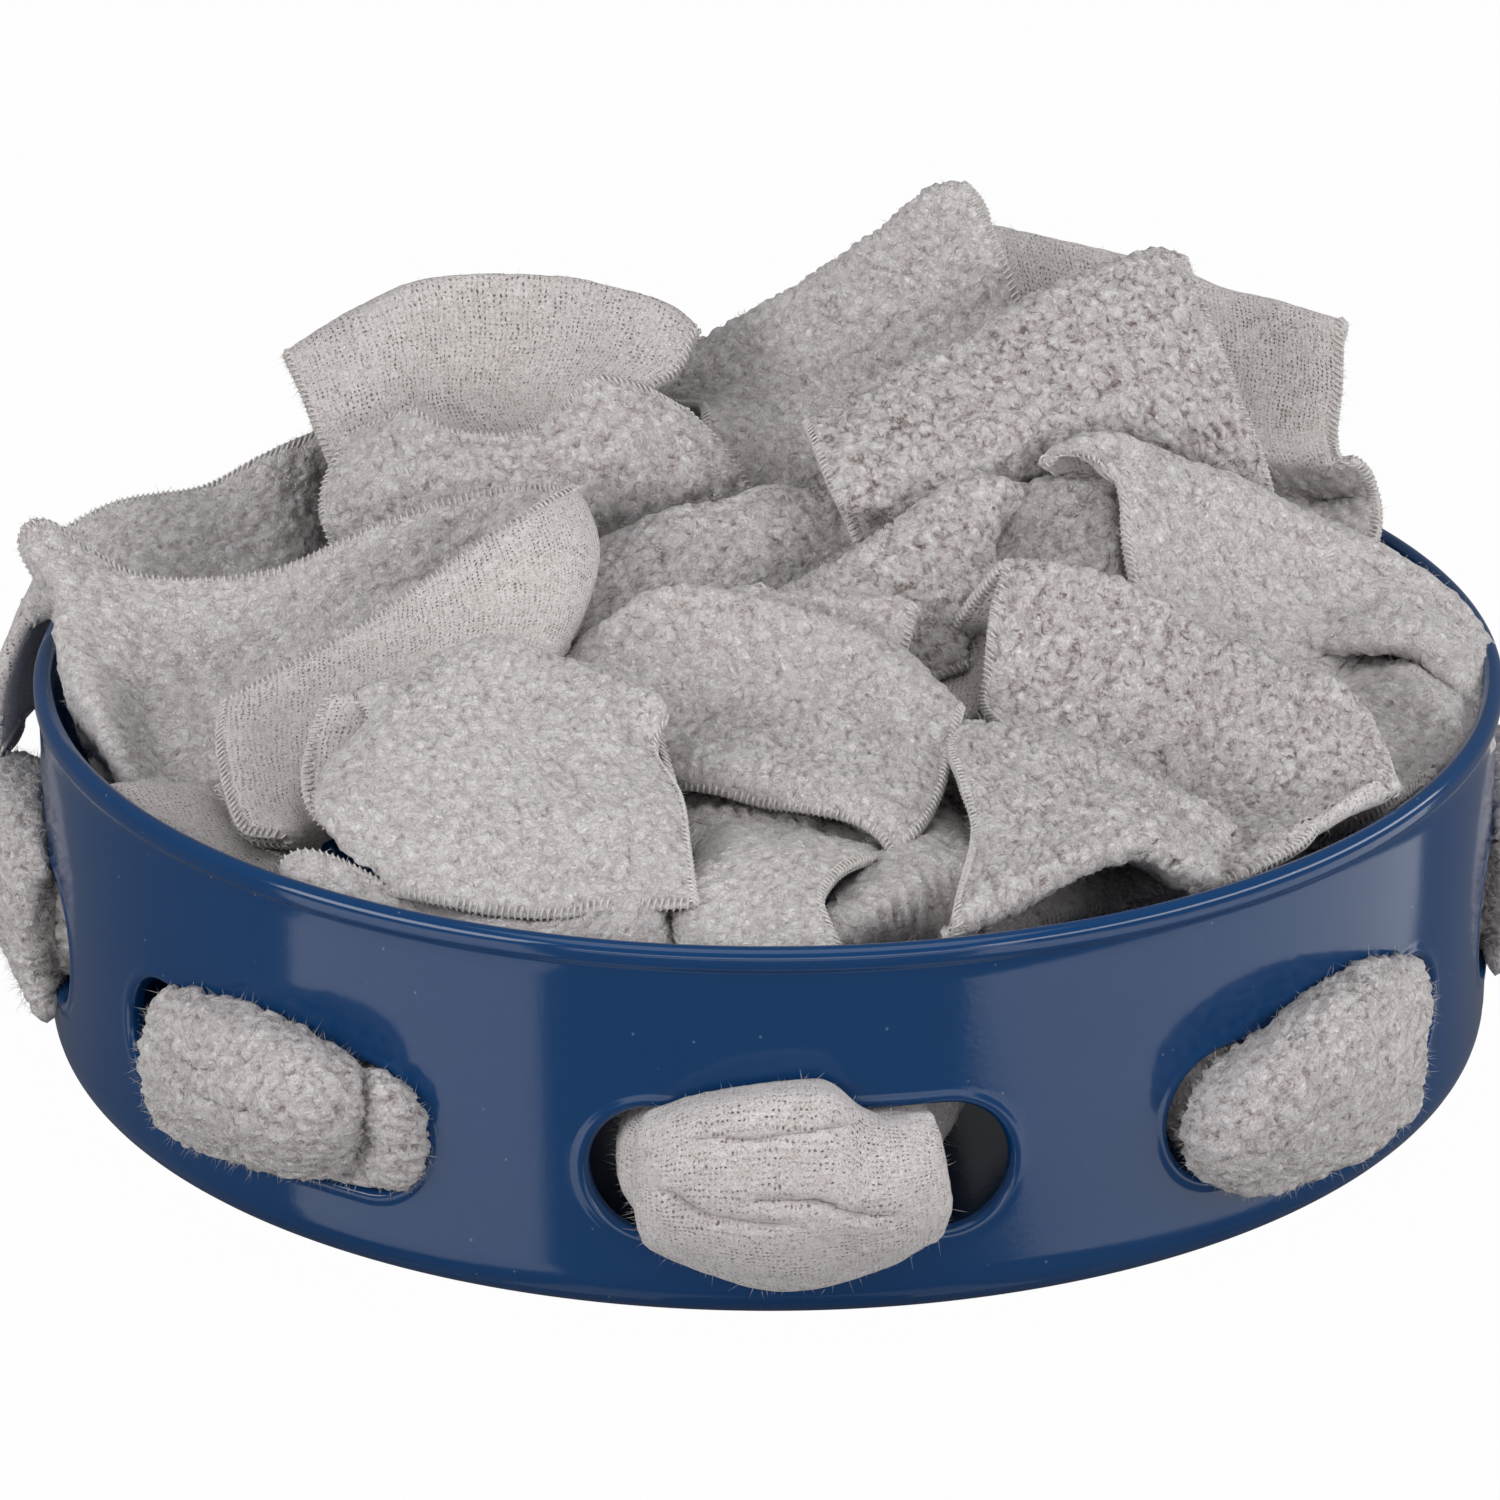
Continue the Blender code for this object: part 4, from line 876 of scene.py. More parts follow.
# each loop as the picture shows it: rungs from its left end to its right one, each from the top
# edge down; how far its bundle reaches in the left and in the right hole; its creases
loopLooks = {
    "knitTongue": {"slot": 0, "far": (0.0345, 0.0255), "rungs": [
        [(652, 1120, 2.0), (645, 1140, 4.2), (643, 1165, 5), (641, 1195, 5), (645, 1225, 4), (651, 1238, 2)],
        [(668, 1112, 2.0), (664, 1130, 7), (662, 1165, 10.5), (661, 1205, 11), (665, 1235, 8),
         (672, 1253, 2.5)],
        [(702, 1101, 2.0), (700, 1118, 9), (698, 1160, 13.5), (698, 1205, 14), (704, 1243, 11),
         (712, 1269, 3)],
        [(748, 1093, 2.0), (746, 1110, 10), (744, 1158, 14.5), (744, 1210, 16), (750, 1255, 12),
         (758, 1283, 3.5)],
        [(800, 1087, 2.0), (798, 1106, 10), (793, 1158, 14.5), (793, 1215, 16.5), (797, 1260, 12),
         (800, 1285, 3.5)],
        [(828, 1089, 2.0), (834, 1108, 9.5), (836, 1156, 14), (838, 1210, 16), (840, 1250, 11.5),
         (842, 1277, 3.5)],
        [(853, 1110, 2.0), (857, 1124, 7), (860, 1160, 12.5), (862, 1207, 15), (864, 1245, 11),
         (866, 1269, 3)],
        [(882, 1122, 2.0), (886, 1135, 7), (889, 1165, 12), (892, 1203, 13.5), (894, 1238, 10),
         (895, 1257, 3)],
        [(910, 1120, 2.0), (914, 1135, 6), (918, 1165, 9.5), (921, 1200, 10.5), (920, 1226, 8),
         (918, 1243, 3)],
        [(929, 1119, 2.0), (934, 1140, 4), (939, 1165, 5), (945, 1202, 5), (941, 1220, 4), (934, 1232, 2)],
    ], "creases": [
        ([(690, 1142), (722, 1140), (760, 1140), (830, 1130), (862, 1126)], 4.2),
        ([(660, 1186), (680, 1196), (705, 1212), (735, 1219), (800, 1224)], 3.8),
        ([(748, 1200), (785, 1200), (820, 1201), (855, 1212), (895, 1214)], 3.4)]},
    "curlSeam": {"slot": 7, "far": (0.0220, 0.0320), "rungs": [
        [(166, 1000, 2.0), (156, 1020, 4), (149, 1045, 5), (150, 1070, 5), (154, 1092, 4), (160, 1110, 2)],
        [(182, 997, 2.0), (176, 1018, 7), (172, 1048, 10), (173, 1080, 10.5), (177, 1108, 8),
         (184, 1135, 2.5)],
        [(212, 1004, 2.0), (208, 1026, 9), (204, 1062, 12.5), (206, 1098, 13.5), (210, 1124, 10.5),
         (216, 1148, 3)],
        [(250, 1015, 2.0), (247, 1038, 10), (244, 1075, 14), (245, 1110, 15.5), (248, 1138, 11.5),
         (254, 1161, 3.5)],
        [(290, 1032, 2.0), (288, 1052, 10), (285, 1085, 14.5), (286, 1120, 15), (289, 1148, 11.5),
         (294, 1171, 3.5)],
        [(322, 1048, 2.0), (322, 1066, 8.5), (321, 1095, 12.5), (322, 1125, 12.5), (324, 1150, 9),
         (326, 1170, 3)],
        [(347, 1066, 2.0), (350, 1078, 6), (352, 1100, 8), (352, 1125, 7), (348, 1148, 4.5), (344, 1164, 2)],
        [(359, 1073, 1.0), (359, 1088, 1.2), (358, 1108, 1.2), (361, 1130, -1), (363, 1148, -3),
         (362, 1162, -3)],
        [(378, 1079, 1.5), (384, 1092, 4.5), (388, 1115, 6), (389, 1140, 5), (385, 1162, 4.5),
         (380, 1178, 1.5)],
        [(397, 1093, 0.5), (411, 1108, 1), (418, 1132, 0.5), (417, 1155, 0.5), (410, 1172, 0.5),
         (398, 1181, 0.5)],
    ], "creases": [
        ([(163, 1042), (182, 1078), (215, 1100), (240, 1108), (282, 1121)], 2.6),
        ([(178, 1050), (196, 1068), (222, 1072)], 1.6),
        ([(345, 1150), (364, 1148), (384, 1145)], 5.0)]},
    "curlEdge": {"slot": 1, "far": (0.0300, 0.0240), "rungs": [
        [(1222, 1067, 1.5), (1207, 1088, 2), (1196, 1112, 2.5), (1192, 1138, 2.5), (1197, 1158, 2),
         (1206, 1169, 1.5)],
        [(1238, 1057, 2.0), (1226, 1082, 6), (1216, 1112, 8), (1212, 1140, 8), (1216, 1162, 6.5),
         (1224, 1178, 2)],
        [(1266, 1037, 2.0), (1256, 1066, 9), (1247, 1100, 12.5), (1243, 1135, 13), (1246, 1165, 10),
         (1254, 1187, 3)],
        [(1300, 1010, 2.0), (1292, 1042, 10), (1284, 1082, 14.5), (1281, 1120, 15.5), (1284, 1152, 12),
         (1290, 1180, 3.5)],
        [(1334, 986, 2.0), (1328, 1018, 10), (1322, 1060, 15), (1320, 1098, 15.5), (1322, 1135, 12),
         (1328, 1165, 3.5)],
        [(1366, 969, 2.0), (1364, 1000, 9.5), (1360, 1038, 14), (1359, 1075, 14.5), (1361, 1110, 11.5),
         (1366, 1150, 3.5)],
        [(1394, 965, 2.0), (1396, 990, 7), (1395, 1022, 10.5), (1394, 1055, 11), (1393, 1088, 9),
         (1392, 1122, 3)],
        [(1412, 967, 2.0), (1420, 985, 4), (1423, 1008, 5), (1419, 1035, 5), (1415, 1065, 4.5),
         (1410, 1108, 2)],
    ], "creases": [
        ([(1285, 1052), (1318, 1038), (1340, 1020), (1362, 1000)], 2.4),
        ([(1248, 1075), (1268, 1062), (1285, 1056)], 1.5)]},
}


def stripRows(slot, minus, plus, look):
    # all rows of a strip in order, with what changes along it: wild (free to wave), hidden (in
    # the pile), the lobe or loop that each belongs to and which of its columns can be seen
    rows, wild, hidden, side, shown = [], [], [], [], []
    column = np.linspace(0, 1, clothShape["columns"])

    def addLobe(lobe, backwards):
        order = range(len(lobe["rungs"]))
        for k in (reversed(order) if backwards else order):
            row, share = tuckedRung(lobe["rungs"][k], lobe["tuck"])
            free = 0.0 if k < lobe["hidden"] else 1.0
            rows.append(row)
            wild.append(free)
            shown.append(free * ((column if lobe["tuck"] else 1 - column) <= share))
            hidden.append(1.0 - free)
            side.append(lobe)

    addLobe(minus, True)
    for row in loopRows(slot, look):
        rows.append(row)
        wild.append(0.0)
        hidden.append(0.0)
        side.append("loop")
        shown.append(np.abs(column - 0.5) * 2 < loopShape["frontShare"])
    addLobe(plus, False)
    return np.array(rows), np.array(wild), np.array(hidden), side, np.array(shown, float)


def blurred(values, times):
    # (before + 2 * own + after) / 4, along the rows and then along the columns
    for _ in range(2 * times):
        padded = np.concatenate([values[:1], values, values[-1:]])
        values = np.swapaxes((padded[:-2] + 2 * padded[1:-1] + padded[2:]) / 4, 0, 1)
    return values


def unitNormals(grid):
    # the cross product of the steps along both directions of the grid
    return unit(np.cross(np.gradient(grid, axis=0), np.gradient(grid, axis=1)))


def towardsCamera(points):
    # from the points to the picture's standpoint, wherever the scene's camera is now
    return unit(np.array(standPoint()) - points)


def evenRows(rows, hidden):
    # the rows spread evenly, with wider steps where the strip is hidden in the pile; and how
    # far along the marked rows each of them lies, times the steps between two
    steps = clothShape["rowSteps"]
    dense = throughRows(rows, steps)
    at = np.arange(len(dense))
    hidden = np.interp(at, np.arange(len(rows)) * steps, hidden)
    travelled = np.linalg.norm(np.diff(dense, axis=0), axis=2).mean(axis=1)
    travelled = travelled * (1 - 0.5 * (hidden[1:] + hidden[:-1]) / 2)
    travelled = np.concatenate([[0.0], np.cumsum(travelled)])
    wanted = np.interp(np.linspace(0, travelled[-1], clothShape["rows"]), travelled, at)
    low = np.clip(np.floor(wanted).astype(int), 0, len(dense) - 2)
    part = (wanted - low)[:, None, None]
    return dense[low] * (1 - part) + dense[low + 1] * part, wanted, at


def curlSigns(side, minus, rowKey, grid, normal, loopNap):
    # which side carries the curls at each marked row: +1 when the side that the normal points to does
    columns = clothShape["columns"]
    inner = slice(columns // 4, -columns // 4)
    signs = np.zeros(len(side))
    for k, lobe in enumerate(side):
        if lobe == "loop" or (k > 0 and side[k - 1] is lobe):
            continue
        count = len(lobe["rungs"])
        rungs = np.arange(count)[::-1] if lobe is minus else np.arange(count)
        near = np.argmin(np.abs(rowKey - (k + list(rungs).index(lobe["seen"]))))
        facing = np.sign((normal[near, inner] * towardsCamera(grid[near, inner])).sum(-1).mean())
        signs[k:k + count] = facing * (1 if lobe["face"] == "curl" else -1)
        signs[k:k + count] *= np.where(rungs >= lobe["flip"], -1, 1)
    loopKeys = [k for k, lobe in enumerate(side) if lobe == "loop"]
    near, mid = np.argmin(np.abs(rowKey - (loopKeys[0] + loopKeys[-1]) // 2)), columns // 2
    facing = np.sign((normal[near, mid] * (grid[near, mid] * (1, 1, 0))).sum())
    signs[loopKeys] = facing * (1 if loopNap == "curl" else -1)
    return signs


def clothFace(grid, normal, half, facing, full, nap, woolly, seed):
    # one face of the cloth, with its curls lifted where it is nap and fine waves where it isn't
    c = clothShape
    base = grid + normal * (half * facing)[..., None]
    flat = base.reshape(-1, 3)
    curl = layered(tuftHeight, flat, c["curls"], seed).reshape(half.shape)
    # lift = (curl - its middle) * depth * gain * nap, down to a quarter at the edges and less
    # where the cloth is less woolly
    lift = (curl - c["curlMiddle"]) * c["curlDepth"] * c["curlGain"] * nap
    lift = lift * (0.25 + 0.75 * full) * (0.7 + 0.6 * woolly)
    waves = smoothNoise(flat, c["waveSize"], seed + 9).reshape(half.shape)
    lift += waves * c["waveDepth"] * (1 - nap)
    return base + normal * (lift * facing)[..., None], curl


def closedSheet(up, down, normal):
    # both faces, joined round the edges by a rim that stands out a little
    rowCount, columns = up.shape[:2]
    total = rowCount * columns
    i, j = np.arange(rowCount), np.arange(columns)
    ring = np.concatenate([i[:-1] * columns, (rowCount - 1) * columns + j[:-1],
                           i[:0:-1] * columns + columns - 1, j[:0:-1]])
    middle = (up.reshape(-1, 3)[ring] + down.reshape(-1, 3)[ring]) / 2
    ahead = np.roll(middle, -1, axis=0) - np.roll(middle, 1, axis=0)
    outward = unit(np.cross(ahead, normal.reshape(-1, 3)[ring]))
    rim = middle + outward * clothShape["edgeHalf"] * clothShape["rimOut"]
    quads = gridQuads(rowCount, columns)
    a = np.arange(len(ring))
    b = np.roll(a, -1)
    faces = np.concatenate([
        quads, quads[:, ::-1] + total, np.stack([ring[a], 2 * total + a, 2 * total + b, ring[b]], 1),
        np.stack([2 * total + a, total + ring[a], total + ring[b], 2 * total + b], 1)])
    return np.concatenate([up.reshape(-1, 3), down.reshape(-1, 3), rim]), faces, ring


def stitchMap(piece, places):
    layer = piece.data.uv_layers.new(name="clothMap")
    corners = np.empty(len(piece.data.loops), np.int32)
    piece.data.loops.foreach_get("vertex_index", corners)
    layer.uv.foreach_set("vector", places[corners].astype(np.float32).ravel())


def makeStrip(name, slot, minus, plus, look, loopNap, seed):
    c = clothShape
    rows, wild, hidden, side, shown = stripRows(slot, minus, plus, look)
    grid, wanted, at = evenRows(rows, hidden)
    rowKey = wanted / c["rowSteps"]
    keys = np.arange(len(rows))
    nearest = np.clip(np.round(rowKey).astype(int), 0, len(rows) - 1)
    wild, buried = (np.interp(wanted, at, np.interp(at, keys * c["rowSteps"], v)) for v in (wild, hidden))
    normal = unit(blurred(unitNormals(grid), 2))
    # slow dents, and waves that grow towards the two long edges
    v = np.linspace(-1, 1, c["columns"])[None, :]
    flat = grid.reshape(-1, 3)
    slow = layered(smoothNoise, flat, c["wobbles"], seed).reshape(grid.shape[:2])
    slow = slow * (1 + c["edgeWobble"] * v ** 4)
    grid = grid + normal * (slow * wild[:, None] * c["wobble"])[..., None]
    normal = unit(blurred(unitNormals(grid), 1))
    # distances over the cloth; it is thin at its edges: full = 1 - exp(-2 * distance / ease)
    acrossStep, alongStep = (np.linalg.norm(np.diff(grid, axis=k), axis=2) for k in (1, 0))
    across = np.concatenate([np.zeros((len(grid), 1)), np.cumsum(acrossStep, axis=1)], axis=1)
    along = np.concatenate([np.zeros((1, c["columns"])), np.cumsum(alongStep, axis=0)])
    edge = np.minimum(np.minimum(across, across[:, -1:] - across), np.minimum(along, along[-1:] - along))
    full = 1 - np.exp(-edge / c["edgeEase"] * 2)
    half = c["edgeHalf"] + (c["half"] - c["edgeHalf"]) * full
    sign = np.interp(rowKey, keys, curlSigns(side, minus, rowKey, grid, normal, loopNap))[:, None]
    isLoop = np.array([lobe == "loop" for lobe in side])
    waleAlong = np.interp(rowKey, keys, [
        1.0 if lobe == "loop" or lobe["wales"] == "along" else 0.0 for lobe in side])[:, None] > 0.5
    woolly = np.interp(rowKey, keys, [c["loopCurly"] if lobe == "loop" else lobe["curly"] for lobe in side])
    woolly = woolly[:, None] + 0 * half
    # nap: 1 on the curls' side and wherever the strip is buried, 0 on the knitted side
    naps = [np.maximum(np.clip(0.5 + c["napSharp"] * sign * facing, 0, 1), buried[:, None]) + 0 * half
            for facing in (1, -1)]
    sheets, curls = zip(*(clothFace(grid, normal, half, facing, full, nap, woolly, seed)
                          for facing, nap in zip((1, -1), naps)))
    points, faces, ring = closedSheet(*sheets, normal)
    piece = makePiece(name, points, faces, fleeceFinish)
    # curl holds the tufts' height, which the pile's colour turns into painted shade low between the tufts
    for label, (up, down) in (("nap", naps), ("curl", curls), ("curly", (woolly, woolly))):
        setValues(piece, label, np.concatenate([up.ravel(), down.ravel(), up.ravel()[ring]]))
    setValues(piece, "tone", np.clip(0.5 + 0.6 * smoothNoise(points, c["toneSize"], c["toneSeed"]), 0, 1))
    # the stitches run straight over the cloth: centimetres across it and along it
    evenAcross = v * c["width"] / 2 + 0 * across
    evenAlong = along.mean(axis=1, keepdims=True) + 0 * across
    wale = np.where(waleAlong, evenAcross, evenAlong) * 100
    course = np.where(waleAlong, evenAlong, evenAcross) * 100
    places = np.stack([wale.ravel(), course.ravel()], 1)
    stitchMap(piece, np.concatenate([places, places, places[ring]]))
    length = along[-1, c["columns"] // 2]
    print(name, "rows", len(grid), "length", round(float(length), 3),
          "width", round(float(across[:, -1].mean()), 3), "faces", len(piece.data.polygons))
    area = float((acrossStep.mean(1) * (c["columns"] - 1)).mean() * length)
    return piece, {"grid": grid, "normal": normal, "length": length, "wild": wild, "inLoop": isLoop[nearest],
                   "sheets": sheets, "naps": naps, "shown": shown[nearest], "area": area}


# ---- overlock thread round the cut edges
hemShape = {"inset": 0.0006, "reach": 0.0010, "proud": 0.0005, "pitch": 0.0012, "thread": 0.00034,
            "turnPoints": 5}


def threeRound(centre, radius, first, second):
    # three points round each centre: centre + radius * (cos * first + sin * second)
    turn = np.arange(3) * 2 * np.pi / 3
    across = np.cos(turn)[:, None] * first[:, None] + np.sin(turn)[:, None] * second[:, None]
    return centre[:, None] + radius * across


def threadRound(edge, inward, normal):
    # a thread wound round the edge: per turn it runs in over one face of the cloth and back
    # over the other, at the height of the cloth's face there
    h, c = hemShape, clothShape
    travelled = lengthAlong(edge)
    count = max(8, int(travelled[-1] / h["pitch"] * h["turnPoints"]))
    at = np.linspace(0, travelled[-1], count)
    edge, inward, normal = (atLengths(at, travelled, v) for v in (edge, inward, normal))
    phase = 2 * np.pi * at / h["pitch"]
    into = h["inset"] - h["reach"] * np.cos(phase)
    full = 1 - np.exp(-2 * np.maximum(into, 0) / c["edgeEase"])
    thick = c["edgeHalf"] + (c["half"] - c["edgeHalf"]) * full
    up = np.sign(np.sin(phase)) * np.abs(np.sin(phase)) ** 0.5
    line = edge + inward * into[:, None] + normal * ((thick + h["proud"]) * up)[:, None]
    ahead = unit(np.gradient(line, axis=0))
    away = normal * up[:, None] - inward * np.cos(phase)[:, None]
    away = unit(away - ahead * (away * ahead).sum(1, keepdims=True))
    ring = threeRound(line, h["thread"], away, np.cross(ahead, away))
    ends = np.array([[0, 2, 1], [3 * count - 3, 3 * count - 2, 3 * count - 1]])
    return ring.reshape(-1, 3), gridQuads(count, 3, close=True), ends


def makeHem(name, facts, topEdge):
    # one line round each lobe: up one long edge, along the end and back down the other edge
    grid, normal = facts["grid"], facts["normal"]
    last = len(grid) - 1
    free = np.where(facts["wild"] > 0.5)[0]
    gap = np.where(np.diff(free) > 1)[0][0]
    lines = []
    for rows, end in ((free[:gap + 1][::-1], 0), (free[gap + 1:], last)):
        back = rows[::-1]
        into = grid[1] - grid[0] if end == 0 else grid[last - 1] - grid[last]
        lines.append((
            np.concatenate([grid[rows, 0], grid[end, 2:-2], grid[back, -1]]),
            np.concatenate([grid[rows, 1] - grid[rows, 0], into[2:-2], grid[back, -2] - grid[back, -1]]),
            np.concatenate([normal[rows, 0], normal[end, 2:-2], normal[back, -1]])))
    if topEdge:
        # this loop lies with its edge up
        rows = np.where(facts["inLoop"])[0]
        rows = rows[len(rows) // 5:-len(rows) // 5]
        column = int(clothShape["columns"] * (1 + loopShape["frontShare"]) / 2) - 1
        inward = grid[rows, column - 3] - grid[rows, column]
        lines.append((grid[rows, column], inward, normal[rows, column - 2]))
    points, quads, triangles, start = [], [], [], 0
    for edge, inward, up in lines:
        p, q, e = threadRound(edge, unit(inward), up)
        points.append(p)
        quads.append(q + start)
        triangles.append(e + start)
        start += len(p)
    hem = makePiece(name, np.concatenate(points), np.concatenate(quads), threadFinish,
                    np.concatenate(triangles))
    outwardFaces(hem)
    return hem


# ---- loose fibres that stand off the pile, more and longer ones on the loops
fuzzShape = {"count": 9800, "edgeCount": 1800, "short": 0.0006, "long": 0.0021, "base": 0.000055,
             "sunk": 0.0003, "spread": 0.9, "edgeSpread": 0.7, "shake": 0.0003, "loopChance": 3.0,
             "loopStretch": 1.7}


def makeFuzz(name, facts, seed):
    rng = np.random.default_rng(seed)
    f = fuzzShape
    grid, normal = facts["grid"], facts["normal"].reshape(-1, 3)
    share = facts["shown"].ravel()
    inLoop = np.repeat(facts["inLoop"], grid.shape[1])
    # a point's chance: whether it can be seen, four times as high on the nap as on the knitted side
    chance = np.concatenate([share * (0.25 + 0.75 * nap.ravel()) for nap in facts["naps"]])
    chance *= np.tile(np.where(inLoop, f["loopChance"], 1.0), 2)
    pick = rng.choice(len(chance), size=f["count"], p=chance / chance.sum())
    surface = np.concatenate([sheet.reshape(-1, 3) for sheet in facts["sheets"]])
    up = normal[pick % len(share)] * np.where(pick < len(share), 1.0, -1.0)[:, None]
    bases = [surface[pick] - up * f["sunk"]]
    aims = [up + rng.normal(size=up.shape) * f["spread"]]
    # more of them along the free edges, pointing out of the edge
    rows = np.where(facts["wild"] > 0.5)[0]
    for column, beside in ((0, 1), (-1, -2)):
        at = rng.choice(rows, size=f["edgeCount"] // 2)
        out = unit(grid[at, column] - grid[at, beside])
        bases.append(grid[at, column] - out * f["sunk"])
        aims.append(out + rng.normal(size=out.shape) * f["edgeSpread"])
    base, aim = np.concatenate(bases), unit(np.concatenate(aims))
    base += rng.normal(size=base.shape) * f["shake"]
    # most are short: short + (long - short) * random ** 2
    length = f["short"] + (f["long"] - f["short"]) * rng.random(len(base)) ** 2
    length[:f["count"]] *= np.where(inLoop[pick % len(share)], f["loopStretch"], 1.0)
    first = unit(np.cross(aim, np.where(np.abs(aim[:, 2:]) < 0.8, [[0, 0, 1.0]], [[1.0, 0, 0]])))
    ring = threeRound(base, f["base"], first, np.cross(aim, first))
    tip = base + aim * (length + f["sunk"])[:, None]
    points = np.concatenate([ring, tip[:, None]], axis=1).reshape(-1, 3)
    start = np.arange(len(base))[:, None, None] * 4
    triangles = (start + np.array([[0, 1, 3], [1, 2, 3], [2, 0, 3], [0, 2, 1]])).reshape(-1, 3)
    return makePiece(name, points, np.zeros((0, 4), np.int32), fuzzFinish, triangles)


# Sight marks of each lobe, a rung per row from its neck to its free end: picture x, picture y,
# back. "seen" is the rung whose side towards the camera shows the face named here, the rungs from
# "flip" on show the other face, "tuck" is the end that goes on behind the row, the first "hidden"
# rungs lie in the pile and "curly" sets how deep the curls stand out and how dark the painted shade
# in their crevices is.
def pileLobe(seen, tuck, curly, rungs, hidden=2, face="curl", wales="along", flip=99):
    return {"seen": seen, "tuck": tuck, "curly": curly, "rungs": rungs, "hidden": hidden, "face": face,
            "wales": wales, "flip": flip}


